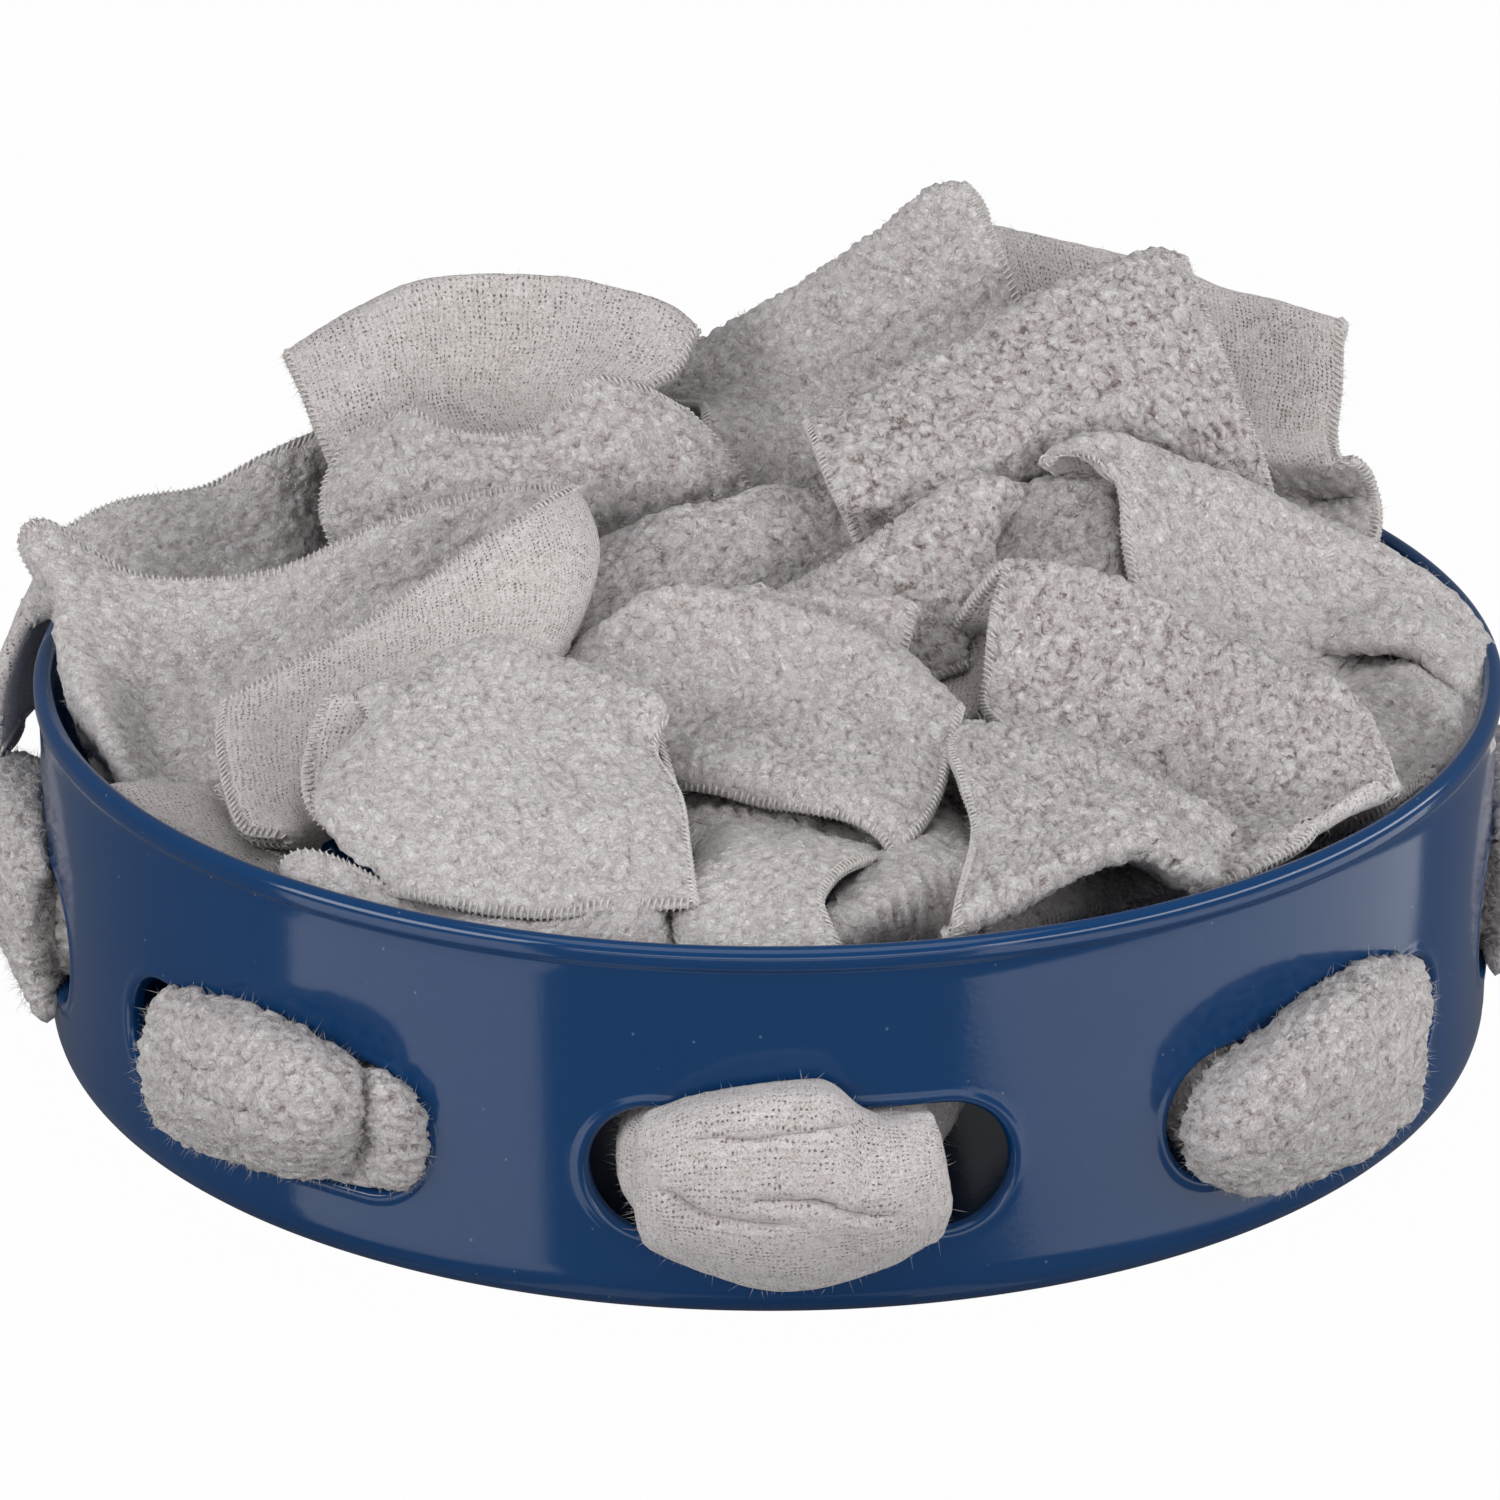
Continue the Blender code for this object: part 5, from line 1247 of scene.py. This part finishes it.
lobes = {
    "frontCorner": pileLobe(6, 1, 0.9, [
        [(645, 1040, -72), (721, 1030, -72)],
        [(700, 875, -60), (745, 850, -55), (800, 852, -55)],
        [(684, 800, -41), (755, 792, -40), (850, 785, -37)],
        [(790, 740, -20), (890, 720, -16), (975, 700, -14)],
        [(790, 622, 0), (870, 575, 3), (975, 520, 7)],
        [(770, 598, -3), (820, 578, -1), (880, 540, 1), (935, 500, 3), (968, 481, 4), (998, 491, 3)],
        [(790, 626, -7), (850, 603, -6), (905, 574, -4), (950, 548, -2), (978, 532, -1), (986, 518, 0)],
        [(820, 662, -12), (880, 642, -10), (930, 622, -8), (978, 600, -6)],
        [(850, 700, -16), (900, 690, -14), (960, 670, -12)],
    ], hidden=3),
    "frontFlap": pileLobe(10, 0, 0.4, [
        [(876, 1046, -74), (968, 1030, -72)],
        [(842, 935, -84), (905, 912, -79), (985, 880, -72)],
        [(852, 885, -68), (915, 855, -65), (976, 852, -63)],
        [(862, 845, -52), (925, 825, -51), (966, 830, -51)],
        [(700, 720, -22), (790, 700, -22), (900, 720, -26)],
        [(680, 612, -12), (760, 598, -12), (840, 597, -12), (918, 602, -14)],
        [(640, 645, -14), (720, 628, -15), (820, 645, -16), (906, 678, -19)],
        [(592, 654, -16), (650, 607, -18), (700, 598, -18), (760, 611, -19), (830, 630, -21), (900, 664, -24),
         (953, 708, -30)],
        [(572, 674, -20), (640, 652, -20), (710, 646, -21), (790, 656, -23), (860, 676, -28), (915, 700, -33),
         (959, 722, -37)],
        [(598, 712, -27), (670, 710, -28), (740, 705, -28), (810, 712, -31), (870, 730, -36), (920, 748, -42),
         (951, 757, -44)],
        [(650, 746, -36), (700, 741, -36), (750, 745, -37), (810, 756, -41), (860, 771, -46), (908, 785, -50),
         (940, 796, -52)],
        [(680, 768, -44), (722, 769, -46), (770, 780, -48), (820, 790, -52), (865, 804, -56), (900, 818, -58),
         (920, 828, -60)],
        [(694, 788, -46), (722, 794, -48), (762, 806, -50), (812, 813, -54), (850, 821, -57), (878, 836, -61),
         (894, 857, -65)],
    ], hidden=5),
    "frontRightFold": pileLobe(5, 1, 0.6, [
        [(1073, 992, -60), (1132, 973, -54)],
        [(964, 899, -46), (1145, 893, -44)],
        [(945, 740, -34), (1060, 760, -38), (1200, 830, -52)],
        [(960, 731, -40), (1000, 733, -43), (1060, 745, -46), (1110, 765, -52), (1160, 793, -56),
         (1207, 824, -60)],
        [(949, 754, -47), (1005, 764, -51), (1070, 778, -55), (1120, 796, -58), (1165, 822, -61),
         (1207, 852, -64)],
        [(962, 790, -57), (1015, 797, -60), (1080, 803, -62), (1130, 813, -64), (1170, 837, -66),
         (1202, 868, -68)],
        [(974, 842, -68), (1018, 840, -69), (1070, 832, -68), (1115, 828, -68), (1158, 840, -69),
         (1195, 873, -72)],
        [(950, 926, -90), (1002, 903, -84), (1060, 872, -78), (1110, 850, -73), (1150, 844, -72),
         (1186, 868, -73)],
        [(942, 930, -77), (985, 915, -72), (1030, 892, -64), (1070, 868, -57), (1105, 856, -53),
         (1140, 856, -53), (1165, 872, -57)],
        [(950, 945, -80), (1000, 945, -78), (1040, 930, -71), (1080, 915, -65), (1110, 905, -61),
         (1138, 898, -59), (1156, 896, -61)],
    ]),
    "rightFrontFlap": pileLobe(6, 1, 0.9, [
        [(1174, 937, -42), (1232, 924, -38)],
        [(1035, 783, -20), (1306, 812, -30)],
        [(926, 668, -5), (1010, 650, -5), (1100, 655, -8), (1230, 700, -18), (1370, 745, -28)],
        [(962, 610, -9), (1040, 608, -10), (1110, 622, -12), (1230, 668, -19), (1375, 735, -31)],
        [(1008, 551, -13), (1060, 567, -14), (1120, 590, -16), (1200, 637, -21), (1270, 668, -26),
         (1330, 690, -31), (1382, 738, -36)],
        [(992, 610, -18), (1060, 640, -20), (1130, 665, -22), (1210, 690, -27), (1290, 715, -33),
         (1360, 742, -38), (1394, 766, -42)],
        [(986, 670, -22), (1050, 700, -24), (1120, 725, -26), (1200, 740, -31), (1280, 752, -37),
         (1350, 765, -42), (1398, 777, -45)],
        [(985, 722, -28), (1050, 748, -31), (1110, 770, -35), (1180, 795, -40), (1260, 805, -46),
         (1330, 800, -49), (1395, 779, -46)],
        [(1050, 780, -42), (1120, 812, -50), (1180, 843, -57), (1240, 850, -60), (1300, 833, -59),
         (1345, 806, -55), (1390, 782, -49)],
        [(1140, 850, -62), (1195, 878, -69), (1230, 882, -70), (1270, 868, -68), (1305, 844, -63),
         (1328, 814, -57), (1380, 785, -51)],
    ]),
    "middleRidge": pileLobe(7, 0, 0.7, [
        [(1130, 830, 4), (1127, 793, 14)],
        [(1125, 640, 2), (1122, 560, 8), (1118, 500, 15), (1118, 520, 22)],
        [(1095, 625, 2), (1090, 545, 7), (1082, 484, 13), (1080, 500, 20)],
        [(1040, 620, 2), (1035, 552, 6), (1028, 494, 11), (1030, 510, 18)],
        [(985, 610, 2), (984, 560, 5), (988, 518, 9), (992, 522, 16)],
        [(925, 590, 6), (922, 540, 10), (920, 508, 14), (925, 515, 20)],
        [(850, 580, 10), (846, 528, 16), (846, 500, 20), (852, 512, 25)],
        [(770, 600, 6), (765, 540, 10), (762, 496, 16), (768, 512, 21)],
        [(680, 635, -6), (672, 568, 3), (670, 522, 10), (680, 540, 16)],
        [(610, 652, -10), (600, 605, -3), (592, 560, 6), (598, 575, 11)],
        [(575, 660, -12), (568, 612, -6), (566, 585, 3), (572, 590, 8)],
    ]),
    "rightFlap": pileLobe(5, 1, 0.35, [
        [(1285, 753, 18), (1303, 771, 8)],
        [(1143, 648, 18), (1391, 684, 12)],
        [(1062, 485, 15), (1160, 500, 18), (1270, 530, 19), (1350, 560, 18), (1440, 610, 14)],
        [(1042, 459, 10), (1068, 446, 10), (1104, 437, 12), (1160, 457, 13), (1230, 487, 14), (1310, 532, 14),
         (1390, 563, 12), (1450, 600, 10), (1484, 645, 6)],
        [(1108, 462, 8), (1122, 478, 7), (1190, 515, 8), (1260, 545, 10), (1330, 572, 10), (1400, 590, 9),
         (1450, 620, 6), (1487, 665, 2)],
        [(1128, 530, 2), (1195, 575, 3), (1265, 602, 4), (1335, 612, 6), (1400, 606, 6), (1440, 630, 3),
         (1484, 690, -5)],
        [(1134, 580, -3), (1200, 625, -3), (1270, 640, -1), (1330, 642, 0), (1385, 640, -2), (1425, 650, -4),
         (1480, 712, -10)],
        [(1140, 610, -6), (1208, 645, -6), (1275, 655, -4), (1330, 652, 3), (1385, 636, 12), (1420, 642, 11),
         (1476, 720, -12)],
        [(1150, 645, -9), (1220, 670, -9), (1285, 680, -7), (1335, 692, -5), (1375, 688, -6), (1415, 682, -8),
         (1470, 730, -15)],
        [(1190, 690, -14), (1250, 705, -15), (1310, 720, -14), (1360, 724, -14), (1405, 722, -16),
         (1440, 722, -18), (1466, 739, -20)],
        [(1240, 760, -24), (1300, 775, -26), (1350, 782, -28), (1395, 782, -30), (1425, 772, -29),
         (1445, 758, -26), (1457, 746, -24)],
        [(1275, 822, -40), (1330, 832, -43), (1370, 822, -42), (1398, 800, -38), (1420, 782, -33)],
    ]),
    "diagonalRoll": pileLobe(7, 1, 1.0, [
        [(1134, 697, 42), (1206, 693, 40)],
        [(983, 608, 26), (1208, 629, 36)],
        [(868, 560, 10), (1000, 560, 19), (1130, 560, 24), (1215, 520, 30)],
        [(838, 512, 12), (980, 480, 22), (1110, 440, 30), (1240, 430, 36)],
        [(812, 440, 25), (930, 390, 31), (1080, 320, 37), (1200, 300, 43)],
        [(803, 421, 25), (850, 404, 26), (900, 379, 27), (960, 350, 30), (1020, 316, 32), (1080, 285, 34),
         (1110, 275, 36), (1150, 262, 38), (1186, 268, 39)],
        [(818, 455, 15), (870, 445, 16), (920, 430, 18), (980, 410, 20), (1040, 385, 24), (1130, 345, 28),
         (1180, 345, 30), (1226, 352, 32)],
        [(834, 492, 8), (880, 490, 8), (925, 485, 10), (980, 462, 13), (1040, 435, 18), (1130, 415, 22),
         (1200, 430, 26), (1252, 436, 29)],
        [(850, 512, 6), (900, 514, 8), (950, 500, 12), (1000, 480, 15), (1050, 460, 19), (1130, 450, 24),
         (1200, 470, 26), (1275, 503, 26)],
        [(872, 530, 10), (920, 528, 13), (965, 512, 16), (1010, 490, 19), (1060, 470, 23), (1140, 460, 27),
         (1210, 480, 29), (1275, 512, 28)],
    ]),
    "backRightBand": pileLobe(4, 0, 0.3, [
        [(1046, 635, 62), (1117, 651, 56)],
        [(1045, 471, 72), (1260, 516, 54)],
        [(990, 262, 66), (1160, 300, 62), (1338, 350, 54)],
        [(985, 232, 63), (1050, 252, 62), (1100, 264, 60), (1220, 292, 55), (1290, 310, 52), (1341, 326, 50)],
        [(1005, 300, 56), (1110, 330, 53), (1220, 350, 50), (1340, 385, 46)],
        [(1030, 380, 50), (1120, 400, 48), (1230, 420, 45), (1335, 438, 42)],
        [(1060, 430, 46), (1140, 440, 44), (1250, 455, 39), (1300, 459, 38), (1344, 461, 36)],
        [(1080, 460, 46), (1160, 470, 44), (1262, 474, 41), (1310, 476, 40), (1364, 470, 37)],
        [(1090, 480, 45), (1160, 486, 44), (1270, 495, 43), (1320, 500, 43), (1375, 494, 38)],
        [(1100, 510, 38), (1170, 515, 37), (1275, 520, 36), (1330, 528, 34), (1379, 520, 34)],
        [(1120, 540, 35), (1200, 545, 34), (1290, 547, 31), (1340, 549, 30), (1374, 547, 29)],
    ], face="knit", flip=7),
    "backPeak": pileLobe(5, 0, 0.5, [
        [(802, 633, 70), (865, 620, 68)],
        [(809, 443, 76), (963, 435, 68)],
        [(670, 400, 67), (820, 330, 67), (990, 240, 60)],
        [(640, 396, 63), (700, 354, 63), (760, 320, 62), (850, 262, 58), (900, 226, 56), (940, 196, 55),
         (967, 188, 54)],
        [(675, 410, 57), (770, 372, 54), (880, 310, 52), (940, 268, 51), (996, 240, 50)],
        [(700, 412, 48), (790, 408, 48), (900, 370, 47), (1018, 300, 47)],
        [(705, 450, 38), (780, 450, 38), (900, 440, 41), (1036, 390, 43)],
        [(720, 500, 32), (790, 500, 32), (890, 480, 38), (1030, 450, 39)],
    ]),
    "backLeftArch": pileLobe(4, 1, 0.3, [
        [(588, 643, 66), (657, 615, 70)],
        [(447, 528, 64), (600, 525, 58)],
        [(300, 372, 50), (420, 340, 56), (530, 330, 57), (672, 365, 49)],
        [(284, 352, 45), (340, 324, 48), (440, 286, 52), (520, 281, 53), (580, 285, 52), (640, 306, 50),
         (692, 336, 47)],
        [(302, 395, 40), (370, 365, 42), (440, 345, 48), (510, 345, 50), (580, 345, 48), (630, 352, 44),
         (678, 372, 42)],
        [(322, 446, 36), (380, 425, 38), (440, 405, 44), (510, 405, 46), (560, 405, 44), (600, 400, 40),
         (640, 396, 38)],
        [(345, 500, 34), (440, 460, 39), (540, 455, 40), (610, 460, 36)],
    ], face="knit"),
    "middleWave": pileLobe(4, 0, 0.6, [
        [(438, 733, 22), (524, 733, 22)],
        [(365, 662, 20), (653, 632, 24)],
        [(330, 540, 20), (450, 570, 14), (590, 585, 20), (735, 520, 26)],
        [(322, 505, 24), (390, 512, 19), (450, 520, 16), (520, 522, 16), (600, 515, 20), (680, 500, 23),
         (750, 496, 27)],
        [(334, 465, 28), (390, 465, 24), (450, 478, 18), (520, 480, 18), (590, 460, 20), (660, 450, 24),
         (732, 462, 28)],
        [(345, 438, 31), (385, 418, 30), (415, 409, 28), (440, 428, 26), (480, 437, 24), (530, 434, 24),
         (560, 412, 25), (588, 379, 28), (640, 385, 29), (690, 412, 30)],
    ]),
    "leftBackBand": pileLobe(4, 1, 0.3, [
        [(348, 647, 54), (277, 676, 50)],
        [(340, 525, 58), (276, 601, 52)],
        [(335, 436, 52), (322, 470, 50), (316, 520, 47), (314, 575, 43)],
        [(300, 440, 49), (290, 475, 46), (286, 520, 41), (290, 590, 33)],
        [(205, 487, 44), (205, 505, 41), (205, 545, 34), (215, 605, 25)],
        [(120, 505, 36), (122, 522, 33), (128, 560, 26), (150, 605, 17)],
        [(68, 531, 31), (84, 560, 25), (108, 600, 16)],
        [(66, 537, 33), (43, 596, 16)],
        [(40, 611, 32), (7, 674, 12)],
        [(43, 691, 34), (0, 752, 8)],
    ]),
    "leftLongFlap": pileLobe(6, 1, 0.3, [
        [(261, 791, 6), (255, 836, -8)],
        [(124, 710, -1), (129, 807, -23)],
        [(31, 538, 6), (62, 590, -1), (64, 640, -8), (88, 700, -19), (122, 782, -33)],
        [(85, 550, 6), (100, 600, -1), (112, 660, -9), (128, 715, -17), (150, 790, -33)],
        [(150, 577, 4), (155, 640, -4), (160, 700, -13), (180, 790, -30)],
        [(270, 571, 2), (270, 650, -6), (275, 715, -17), (280, 775, -30)],
        [(400, 515, 5), (400, 595, -1), (400, 670, -11), (400, 740, -24)],
        [(500, 489, 8), (500, 560, 3), (500, 630, -6), (500, 700, -18)],
        [(562, 489, 3), (588, 540, -4), (582, 600, -12), (553, 655, -20)],
        [(532, 508, -8), (550, 580, -15), (540, 640, -24), (520, 690, -33)],
        [(440, 568, -14), (450, 630, -22), (440, 690, -30), (430, 752, -38)],
        [(330, 643, -23), (330, 700, -31), (326, 760, -40), (325, 815, -48)],
        [(222, 699, -33), (217, 745, -41), (224, 790, -48), (240, 832, -55), (270, 838, -56)],
    ], wales="across"),
    "leftLowFold": pileLobe(3, 0, 0.6, [
        [(231, 916, -32), (279, 867, -22)],
        [(211, 856, -38), (320, 826, -28)],
        [(122, 796, -42), (175, 788, -36), (225, 792, -36)],
        [(150, 822, -47), (200, 812, -43), (240, 818, -42)],
        [(205, 856, -54), (240, 846, -52), (262, 845, -50)],
        [(250, 888, -58), (275, 872, -56), (300, 866, -55)],
    ]),
    "frontWallBand": pileLobe(8, 0, 0.3, [
        [(343, 962, -52), (387, 975, -56)],
        [(278, 896, -58), (339, 892, -60)],
        [(300, 892, -74), (298, 864, -68)],
        [(345, 912, -78), (342, 872, -70)],
        [(430, 950, -86), (430, 905, -77)],
        [(560, 970, -91), (560, 917, -83)],
        [(640, 972, -92), (645, 910, -83), (655, 870, -74)],
        [(700, 965, -92), (703, 912, -84), (712, 878, -76), (714, 856, -64), (718, 835, -50),
         (722, 810, -36)],
        [(765, 962, -93), (762, 905, -84), (776, 868, -73), (778, 850, -62), (778, 830, -48),
         (776, 806, -36)],
        [(842, 948, -92), (822, 905, -84), (836, 877, -76), (866, 860, -68), (893, 852, -60),
         (900, 838, -50)],
    ]),
    "frontLeftFold": pileLobe(6, 0, 0.25, [
        [(447, 998, -62), (538, 1011, -66)],
        [(419, 902, -50), (615, 914, -54)],
        [(322, 826, -56), (400, 800, -50), (500, 780, -44), (600, 800, -48), (690, 860, -60)],
        [(322, 706, -43), (376, 700, -42), (450, 674, -36), (500, 662, -34), (600, 704, -36),
         (664, 735, -44)],
        [(378, 706, -46), (402, 690, -45), (440, 663, -40), (500, 644, -37), (560, 668, -39), (620, 688, -42),
         (655, 700, -46), (667, 722, -48)],
        [(345, 765, -56), (385, 742, -54), (440, 722, -51), (500, 712, -49), (560, 718, -49), (605, 724, -50),
         (657, 750, -53)],
        [(326, 806, -63), (390, 790, -63), (450, 780, -62), (510, 776, -61), (570, 780, -61), (620, 784, -62),
         (677, 796, -62)],
        [(352, 850, -70), (415, 838, -72), (480, 832, -72), (540, 832, -72), (600, 832, -72), (645, 834, -72),
         (686, 842, -72)],
        [(402, 897, -78), (450, 906, -82), (510, 915, -84), (560, 917, -85), (610, 906, -85), (655, 904, -85),
         (697, 903, -85)],
    ]),
}


# node, the lobe at either end, the look of the loop between them and the side that it shows
stripPlan = [
    ("strip_front", "frontCorner", "frontFlap", "knitTongue", "knit"),
    ("strip_front_right", "frontRightFold", "rightFrontFlap", "curlEdge", "curl"),
    ("strip_right", "middleRidge", "rightFlap", "curlSeam", "curl"),
    ("strip_back_right", "diagonalRoll", "backRightBand", "knitTongue", "knit"),
    ("strip_back", "backPeak", "backLeftArch", "curlEdge", "curl"),
    ("strip_back_left", "middleWave", "leftBackBand", "curlSeam", "curl"),
    ("strip_left", "leftLongFlap", "leftLowFold", "curlEdge", "curl"),
    ("strip_front_left", "frontWallBand", "frontLeftFold", "curlSeam", "curl"),
]
for number, (node, minus, plus, look, loopNap) in enumerate(stripPlan):
    piece, facts = makeStrip("fleece_" + node, number, lobes[minus], lobes[plus], loopLooks[look], loopNap,
                             11 + number)
    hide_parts(node)
    hem = makeHem("hem_" + node, facts, look == "curlEdge")
    fuzz = makeFuzz("fuzz_" + node, facts, 70 + number)
    print(node, "area share", round(facts["area"] / clothShape["width"] / facts["length"], 2))


# ---- floor, light
stageShape = {"side": 6.0, "seenAs": 0.985, "soft": 0.20}
plainWhite = (1, 1, 1, 1)


def stageFinish():
    # a glossy pale table, white to the camera; the bowl's wall mirrors the lamps that it mirrors
    material, tree, shader = newMaterial("paleFloor", {
        "Base Color": (0.30, 0.30, 0.30, 1.0), "Roughness": 0.03, "IOR": 2.4})[:3]
    path = addNode(tree, "ShaderNodeLightPath").outputs
    white = addNode(tree, "ShaderNodeEmission", {"Color": plainWhite, "Strength": 1.0}).outputs[0]
    share = sumNode(tree, "MULTIPLY", path["Is Camera Ray"], stageShape["seenAs"])
    mix = addNode(tree, "ShaderNodeMixShader", {0: share, 1: shader.outputs[0], 2: white})
    tree.links.new(mix.outputs[0], tree.nodes["Material Output"].inputs["Surface"])
    return material


def makeFloor():
    side = stageShape["side"]
    mesh = bpy.data.meshes.new("floor")
    corners = [(-side, -side, 0), (side, -side, 0), (side, side, 0), (-side, side, 0)]
    mesh.from_pydata(corners, [], [(0, 1, 2, 3)])
    mesh.materials.append(stageFinish())
    floor = bpy.data.objects.new("floor", mesh)
    scene.collection.objects.link(floor)


def makeWorld():
    # white to the camera, a soft light to everything else
    world = bpy.data.worlds.new("studio")
    world.use_nodes = True
    tree = world.node_tree
    path = addNode(tree, "ShaderNodeLightPath").outputs
    soft = tree.nodes["Background"]
    soft.inputs["Color"].default_value = plainWhite
    soft.inputs["Strength"].default_value = stageShape["soft"]
    white = addNode(tree, "ShaderNodeBackground", {"Color": plainWhite, "Strength": 1.0})
    mix = addNode(tree, "ShaderNodeMixShader", {
        0: path["Is Camera Ray"], 1: soft.outputs[0], 2: white.outputs[0]})
    tree.links.new(mix.outputs[0], tree.nodes["World Output"].inputs["Surface"])
    scene.world = world


softBoxes = {
    "left": {"place": (-1.186, -0.817, 0.62), "size": (1.13, 0.62), "level": 5.0},
    "right": {"place": (1.076, -0.297, 0.45), "size": (2.16, 0.30), "level": 5.0},
    "top": {"place": (0.0, -0.45, 1.70), "size": (1.5, 1.3), "level": 1.4},
    "low": {"place": (0.1, -1.5, 0.20), "size": (1.9, 0.28), "level": 2.6},
}


def makeSoftBoxes():
    for name, box in softBoxes.items():
        data = bpy.data.lights.new(name + "SoftBox", "AREA")
        data.shape = "RECTANGLE"
        data.size, data.size_y = box["size"]
        data.energy = box["level"] * np.pi * box["size"][0] * box["size"][1]
        lamp = bpy.data.objects.new(name + "SoftBox", data)
        place = Vector(box["place"])
        lamp.location = place
        lamp.rotation_euler = (Vector((0, 0, 0.05)) - place).to_track_quat("-Z", "Y").to_euler()
        scene.collection.objects.link(lamp)


makeFloor()
makeWorld()
makeSoftBoxes()
scene.view_settings.view_transform = "Standard"
print("stage and light set")
